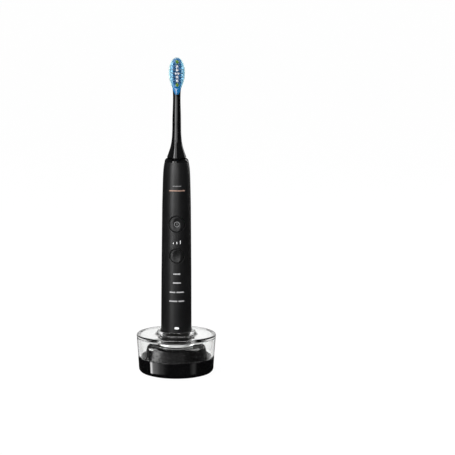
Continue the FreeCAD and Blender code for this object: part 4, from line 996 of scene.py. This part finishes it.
# Filaments of one tuft: spots by the sunflower rule (radius by the square root of the count, turned by
# the golden angle), each a six-sided rod from the plate to a rounded tip that leans out a little.
# The last array is each point's own tone.
def tuftShell(x, z, radius, length):
    count, sides, root = filament["count"], filament["sides"], filament["root"]
    thick = radius * math.sqrt(filament["packing"] / count)
    index = np.arange(count)
    spread = (radius - thick) * np.sqrt((index + 0.5) / count)
    golden = index * filament["goldenAngle"]
    spot = np.stack([np.cos(golden), np.sin(golden)], 1) * spread[:, None]
    lean = spot * filament["splay"] + rng.normal(0, filament["scatter"], (count, 2))
    long = length - filament["shorter"] - np.abs(rng.normal(0, filament["uneven"], count))
    along, thin = np.array(filament["along"]), np.array(filament["thickness"])
    turn = np.arange(sides) * 2 * np.pi / sides
    centre = spot[:, None] + lean[:, None] * along[None, :, None] ** 2
    ring = np.stack([np.cos(turn), np.sin(turn)], 1) * thick
    flat = centre[:, :, None] + thin[None, :, None, None] * ring[None, None]
    deep = -plate["front"] + root - (long + root)[:, None] * along
    points = np.stack([x + flat[..., 0], np.repeat(deep[..., None], sides, 2), z + flat[..., 1]], 3)
    tone = np.repeat(rng.uniform(0, 1, count), len(along) * sides)
    rows = len(along)
    starts = index[:, None, None] * rows * sides
    quads = (gridFaces(rows, sides)[None] + starts).reshape(-1, 4)
    caps = np.array([np.arange(sides)[::-1], (rows - 1) * sides + np.arange(sides)])[None] + starts
    return points.reshape(-1, 3), [quads, caps.reshape(-1, sides)], tone


bristles = {
    "pitch": 3.2, "blueRadius": 0.95, "whiteRadius": 1.2, "outerRadius": 0.8, "greenRadius": 1.55,
    "whiteSteps": (-2.2, -1.2, 0.7, 1.7), "pairOffset": 1.15, "pairDrop": 0.8,
    "blueOffset": 2.7, "blueSteps": (-2.7, -1.7, -0.7, 0.3, 1.3, 2.2),
    "outerOffset": 4.5, "outerSteps": (-1.6, -0.6, 0.4, 1.3), "greenRise": 9.2, "greenDrop": 10.5,
}


# Length of a group's bristles, from its node's box
def bristleLength(node):
    return -plate["front"] - boxOf(node)[0][1]


pitch = bristles["pitch"]
groups = {
    "white": [(0, step * pitch, bristles["whiteRadius"]) for step in bristles["whiteSteps"]]
    + [(side * bristles["pairOffset"], -bristles["pairDrop"], bristles["blueRadius"]) for side in (-1, 1)],
    "green": [(0, rise, bristles["greenRadius"]) for rise in (bristles["greenRise"], -bristles["greenDrop"])],
    "blue": [(side * bristles["blueOffset"], step * pitch, bristles["blueRadius"]) for side in (-1, 1)
             for step in bristles["blueSteps"]],
    "light_blue": [(side * bristles["outerOffset"], step * pitch, bristles["outerRadius"]) for side in (-1, 1)
                   for step in bristles["outerSteps"]],
}
for colour, spots in groups.items():
    node = f"tufts_{colour}"
    tufts = [tuftShell(x, plateMiddle + rise, radius, bristleLength(node)) for x, rise, radius in spots]
    piece = dress(f"bristles_{colour}", [tuft[:2] for tuft in tufts], "head", node, f"{colour}_bristle", crease=None)
    tone = piece.data.attributes.new("tone", "FLOAT", "POINT")
    tone.data.foreach_set("value", np.concatenate([tuft[2] for tuft in tufts]).astype(np.float32))


print("stage, light and camera")


# Floor that runs up into a wall: a profile in YZ with a quarter circle between them, carried along X
def sweepSheet(front, back, half, height, bend, columns=9):
    quarter = np.linspace(0, np.pi / 2, 24)
    curve = np.stack([back - bend + bend * np.sin(quarter), bend - bend * np.cos(quarter)], 1)
    profile = np.concatenate([[(front, 0)], curve, [(back, height)]])
    across = np.linspace(-half, half, columns)
    points = np.stack([np.repeat(across[None], len(profile), 0), np.repeat(profile[:, :1], columns, 1),
                       np.repeat(profile[:, 1:], columns, 1)], 2)
    return points.reshape(-1, 3), gridFaces(len(profile), columns, wrapColumns=False)


# Stage object from points in metres
def addStage(name, points, faces, material):
    mesh = bpy.data.meshes.new(name)
    mesh.from_pydata(points, [], faces)
    mesh.materials.append(material)
    thing = inScene(name, mesh)
    return thing


# Paper that glows for the camera and through clear parts, less a share that keeps the brush's shadow.
# What the clear holder mirrors finds it dimmer in front of the brush, and so does what the dome mirrors
# through two walls.
def glowingPaper(name, shadow, shine, inside):
    material = newMaterial(name, (0.95, 0.95, 0.95), Roughness=0.9, Specular_IOR_Level=0.1)
    nodes = material.node_tree.nodes
    rays = addNode(material, "ShaderNodeLightPath").outputs
    coords = addNode(material, "ShaderNodeTexCoord").outputs["Object"]
    spot = addNode(material, "ShaderNodeSeparateXYZ", {0: coords}).outputs
    inFront = calculated(material, "LESS_THAN", spot["Y"], 0.0)
    twoWalls = calculated(material, "COMPARE", rays["Transmission Depth"], 3.5, 1.0)
    mirroredOnce = calculated(material, "GREATER_THAN", rays["Glossy Depth"], 0.5)
    dimmed = calculated(material, "MULTIPLY", calculated(material, "MAXIMUM", inFront, twoWalls), mirroredOnce)
    glow = addNode(material, "ShaderNodeEmission", {"Color": (1, 1, 1, 1),
                                                    "Strength": remap(material, dimmed, 0, 1, shine, inside)})
    seen = calculated(material, "MAXIMUM", rays["Is Camera Ray"], rays["Is Transmission Ray"])
    surface = addNode(material, "ShaderNodeMixShader", {
        0: calculated(material, "MULTIPLY", seen, 1 - shadow), 1: nodes["Principled BSDF"].outputs[0],
        2: glow.outputs[0]})
    material.node_tree.links.new(surface.outputs[0], nodes["Material Output"].inputs["Surface"])
    return material


stage = {"front": -3.0, "back": 3.6, "half": 3.6, "height": 3.2, "bend": 0.9, "shadow": 0.055, "inside": 0.08,
         "glow": 1.025}
points, faces = sweepSheet(stage["front"], stage["back"], stage["half"], stage["height"], stage["bend"])
paper = glowingPaper("studioPaper", stage["shadow"], stage["glow"], stage["inside"])
studioFloor = addStage("studioFloor", points.tolist(), faces.tolist(), paper)
studioFloor.data.polygons.foreach_set("use_smooth", np.ones(len(faces), bool))
studioFloor.visible_glossy = False


# A grey that follows a value from 0 to 1, from stops (value, grey)
def greyRamp(owner, value, stops):
    return ramp(owner, value, *[(position, (grey,) * 3) for position, grey in stops], easing="EASE")


# Azimuth of a vector about Z on a scale from 0 to 1, where 0.5 lies in front of the brush
def azimuthOf(owner, vector):
    axes = addNode(owner, "ShaderNodeSeparateXYZ", {0: vector}).outputs
    turn = calculated(owner, "ARCTAN2", axes["X"], calculated(owner, "MULTIPLY", axes["Y"], -1.0))
    return remap(owner, turn, -math.pi, math.pi, 0, 1)


# Stops by azimuth in degrees, 0 in front of the brush and 90 on its right, moved to that scale
def turnStops(stops):
    return [(0.5 + turn / 360, grey) for turn, grey in stops]


# Greys of the surroundings by height (a ray's direction from 0, straight down, to 1, straight up) or, for
# rear, bands and windowTurns, by azimuth in degrees
air = {
    "ambient": 0.42, "white": 1.0,
    # what gloss mirrors, and what is seen straight through clear parts
    "mirrored": ((0.0, 0.01), (0.44, 0.015), (0.5, 0.04), (0.6, 0.1), (0.75, 0.08), (1.0, 0.05)),
    "through": ((0.0, 1.0), (0.58, 1.0), (0.7, 0.75), (0.85, 0.4), (1.0, 0.3)),
    # what clear edges send out after a reflection inside them, and where that is the pale backdrop
    "edges": ((0.0, 0.6), (0.5, 0.8), (0.6, 0.6), (0.8, 0.45), (1.0, 0.4)),
    "rear": ((-180, 1.0), (-168, 1.0), (-160, 0.0), (160, 0.0), (168, 1.0), (180, 1.0)),
    # what comes back from inside the holder through its outer wall, and through the well too
    "dome": ((0.0, 0.03), (0.5, 0.03), (0.58, 0.05), (1.0, 0.05)),
    "inside": ((0.0, 0.5), (0.5, 0.7), (0.53, 0.45), (0.58, 0.12), (0.7, 0.05), (1.0, 0.05)),
    # upright bands that the dome mirrors: how much they count, and how bright they are
    "bandHeights": ((0.52, 0.0), (0.55, 1.0), (0.84, 1.0), (0.88, 0.0)),
    "bands": ((-180, 0.02), (-140, 0.05), (-134, 11.0), (-113, 11.0), (-107, 1.8), (-102, 2.0), (-96, 5.8),
              (-80, 6.2), (-68, 4.2), (-56, 1.4), (-41, 0.7), (-20, 0.35), (20, 0.3), (38, 0.1), (55, 0.02),
              (180, 0.0)),
    # a bright window high on the right that its shoulder mirrors
    "windowTurns": ((85, 0.0), (100, 1.0), (150, 1.0), (165, 0.0)),
    "windowHeights": ((0.74, 0.0), (0.78, 1.0), (0.92, 1.0), (0.95, 0.0)),
    "window": 4.2,
}
world = bpy.data.worlds.new("studioAir")
bpy.context.scene.world = world
world.use_nodes = True
world.node_tree.nodes.clear()
rays = addNode(world, "ShaderNodeLightPath").outputs
heading = addNode(world, "ShaderNodeTexCoord").outputs["Generated"]
upward = remap(world, addNode(world, "ShaderNodeSeparateXYZ", {0: heading}).outputs["Z"], -1, 1, 0, 1)
around = azimuthOf(world, heading)


def byHeight(name):
    return greyRamp(world, upward, air[name])


def byTurn(name):
    return greyRamp(world, around, turnStops(air[name]))


def evenGrey(grey):
    return (grey, grey, grey, 1)


mirroredOnce = calculated(world, "GREATER_THAN", rays["Glossy Depth"], 0.5)
throughWalls = calculated(world, "GREATER_THAN", rays["Transmission Depth"], 2.5)
throughWell = calculated(world, "GREATER_THAN", rays["Transmission Depth"], 4.5)
rear = byTurn("rear")
inside = blended(world, throughWell, byHeight("dome"), byHeight("inside"))
inside = blended(world, byHeight("bandHeights"), inside, byTurn("bands"))
window = calculated(world, "MULTIPLY", byTurn("windowTurns"), byHeight("windowHeights"))
inside = blended(world, window, inside, evenGrey(air["window"]))
# the well's floor, as the dome's top mirrors it, is pale like the backdrop
inside = blended(world, calculated(world, "MULTIPLY", rear, throughWell), inside, evenGrey(air["white"]))
edges = blended(world, rear, byHeight("edges"), evenGrey(air["white"]))
clear = blended(world, mirroredOnce, byHeight("through"), blended(world, throughWalls, edges, inside))
shade = blended(world, rays["Is Glossy Ray"], evenGrey(air["ambient"]), byHeight("mirrored"))
shade = blended(world, rays["Is Transmission Ray"], shade, clear)
shade = blended(world, rays["Is Camera Ray"], shade, evenGrey(air["white"]))
background = addNode(world, "ShaderNodeBackground", {"Color": shade})
addNode(world, "ShaderNodeOutputWorld", {"Surface": background.outputs[0]})


# Only the named pieces, or all but them, get the light of an object
def lightOnly(source, pieces, state="INCLUDE"):
    group = bpy.data.collections.new(f"{source.name}On")
    for piece in pieces:
        group.objects.link(bpy.data.objects[piece])
    for member in group.collection_objects:
        member.light_linking.link_state = state
    source.light_linking.receiver_collection = group


# Spot at an azimuth (from -Y, towards +X), a distance and a height, and the turn that faces the brush
def facing(azimuth, distance, height, target=0.13):
    turn = math.radians(azimuth)
    spot = np.array([distance * math.sin(turn), -distance * math.cos(turn), height])
    return spot, Vector(np.array([0, 0, target]) - spot).to_track_quat("-Z", "Y")


lamps = {
    "keyBox": {"azimuth": -22, "distance": 1.2, "height": 0.24, "size": (1.7, 0.32), "watts": 4.2},
    "stemBox": {"azimuth": -36, "distance": 1.15, "height": 0.1, "size": (0.3, 0.4), "watts": 1.7},
    "tallBox": {"azimuth": -37, "distance": 1.1, "height": 0.75, "size": (0.2, 0.8), "watts": 4.6},
    "softBox": {"azimuth": -16, "distance": 1.2, "height": 0.75, "size": (0.6, 0.8), "watts": 3.0},
    "topBox": {"azimuth": -90, "distance": 0.28, "height": 1.4, "size": (0.8, 0.4), "watts": 6.0},
    "rimBox": {"azimuth": 134, "distance": 1.1, "height": 0.5, "size": (0.25, 0.9), "watts": 2.0},
    "headBox": {"azimuth": -8, "distance": 1.1, "height": 0.5, "size": (0.5, 0.5), "watts": 8.0,
                "only": ["headPlate", "headRim", "bristles_blue", "bristles_light_blue"]},
}
for name, lamp in lamps.items():
    light = bpy.data.lights.new(name, "AREA")
    light.shape = "RECTANGLE"
    light.size, light.size_y = lamp["size"]
    light.energy = lamp["watts"]
    box = inScene(name, light)
    box.rotation_mode = "QUATERNION"
    box.location, box.rotation_quaternion = facing(lamp["azimuth"], lamp["distance"], lamp["height"])
    box.visible_camera = box.visible_transmission = False
    if "only" in lamp:
        lightOnly(box, lamp["only"])
    else:
        lightOnly(box, ["clearStand"], "EXCLUDE")


# A glowing surface's material before its nodes: no light is sampled from it
def bareMaterial(name):
    material = bpy.data.materials.new(name)
    material.use_nodes = True
    material.node_tree.nodes.clear()
    material.cycles.emission_sampling = "NONE"
    return material


# Stage object that only the named piece mirrors
def mirroredSheet(name, points, faces, material, piece):
    sheet = addStage(name, points, faces, material)
    sheet.visible_camera = sheet.visible_diffuse = sheet.visible_transmission = sheet.visible_shadow = False
    lightOnly(sheet, [piece])


# Curved card that only the base's gloss mirrors: part of a cylinder round the brush, bright at one edge,
# and below floor level, where it hides no lamp
card = {
    "radius": 1.7, "low": -0.7, "high": -0.06, "from": -100, "to": 70, "columns": 120,
    "shine": ((-100, 0.0), (-88.5, 0.0), (-87, 13.0), (-81, 13.0), (-79.5, 3.4), (-68, 2.2), (-50, 0.7), (-32, 0.1),
              (-20, 0.02), (38, 0.02), (55, 0.6), (66, 0.02)),
}
turns = np.radians(np.linspace(card["from"], card["to"], card["columns"]))
ring = np.stack([card["radius"] * np.sin(turns), -card["radius"] * np.cos(turns)], 1)
points = np.concatenate([np.column_stack([ring, np.full(len(ring), level)]) for level in (card["low"], card["high"])])
cardGlow = bareMaterial("baseCard")
turn = azimuthOf(cardGlow, addNode(cardGlow, "ShaderNodeTexCoord").outputs["Object"])
glow = addNode(cardGlow, "ShaderNodeEmission", {"Color": greyRamp(cardGlow, turn, turnStops(card["shine"]))})
addNode(cardGlow, "ShaderNodeOutputMaterial", {"Surface": glow.outputs[0]})
mirroredSheet("baseCard", points.tolist(), gridFaces(2, card["columns"], wrapColumns=False).tolist(), cardGlow,
              "chargerBase")


# Glow that counts for rays that come from the camera and were mirrored once, and is clear for all others
def mirroredGlow(name, strength):
    material = bareMaterial(name)
    rays = addNode(material, "ShaderNodeLightPath").outputs
    first = calculated(material, "LESS_THAN", rays["Ray Depth"], 1.5)
    counts = calculated(material, "MULTIPLY", rays["Is Reflection Ray"], first)
    clear = addNode(material, "ShaderNodeBsdfTransparent").outputs[0]
    glow = addNode(material, "ShaderNodeEmission", {"Strength": strength}).outputs[0]
    surface = addNode(material, "ShaderNodeMixShader", {0: counts, 1: clear, 2: glow}).outputs[0]
    addNode(material, "ShaderNodeOutputMaterial", {"Surface": surface})
    return material


# Sheets that only the clear holder mirrors: a pale one behind the brush and a bright one over it, each with
# the (y, z) of its two long edges
sheets = {
    "rearSheet": {"half": 1.6, "first": (2.5, 0.02), "second": (2.5, 2.2), "shine": 1.0},
    "overSheet": {"half": 0.6, "first": (-0.9, 1.3), "second": (0.3, 1.3), "shine": 5.0},
}
for name, sheet in sheets.items():
    corners = [(side * sheet["half"], *sheet[edge])
               for side, edge in ((-1, "first"), (1, "first"), (1, "second"), (-1, "second"))]
    mirroredSheet(name, corners, [(0, 1, 2, 3)], mirroredGlow(name, sheet["shine"]), "clearStand")

view = {
    "lens": 183.0, "sensor": 36.0, "reach": 20.0,
    "place": (-0.052, -1.998, 0.450), "pitch": 9.111, "roll": -0.31, "yaw": -2.72,
}
camera = bpy.data.cameras.new("camera")
camera.lens, camera.sensor_width, camera.clip_end = view["lens"], view["sensor"], view["reach"]
eye = inScene("camera", camera)
eye.location = view["place"]
eye.rotation_euler = tuple(math.radians(turn) for turn in (90 - view["pitch"], view["roll"], view["yaw"]))
bpy.context.scene.camera = eye
bpy.context.scene.view_settings.view_transform = "Standard"
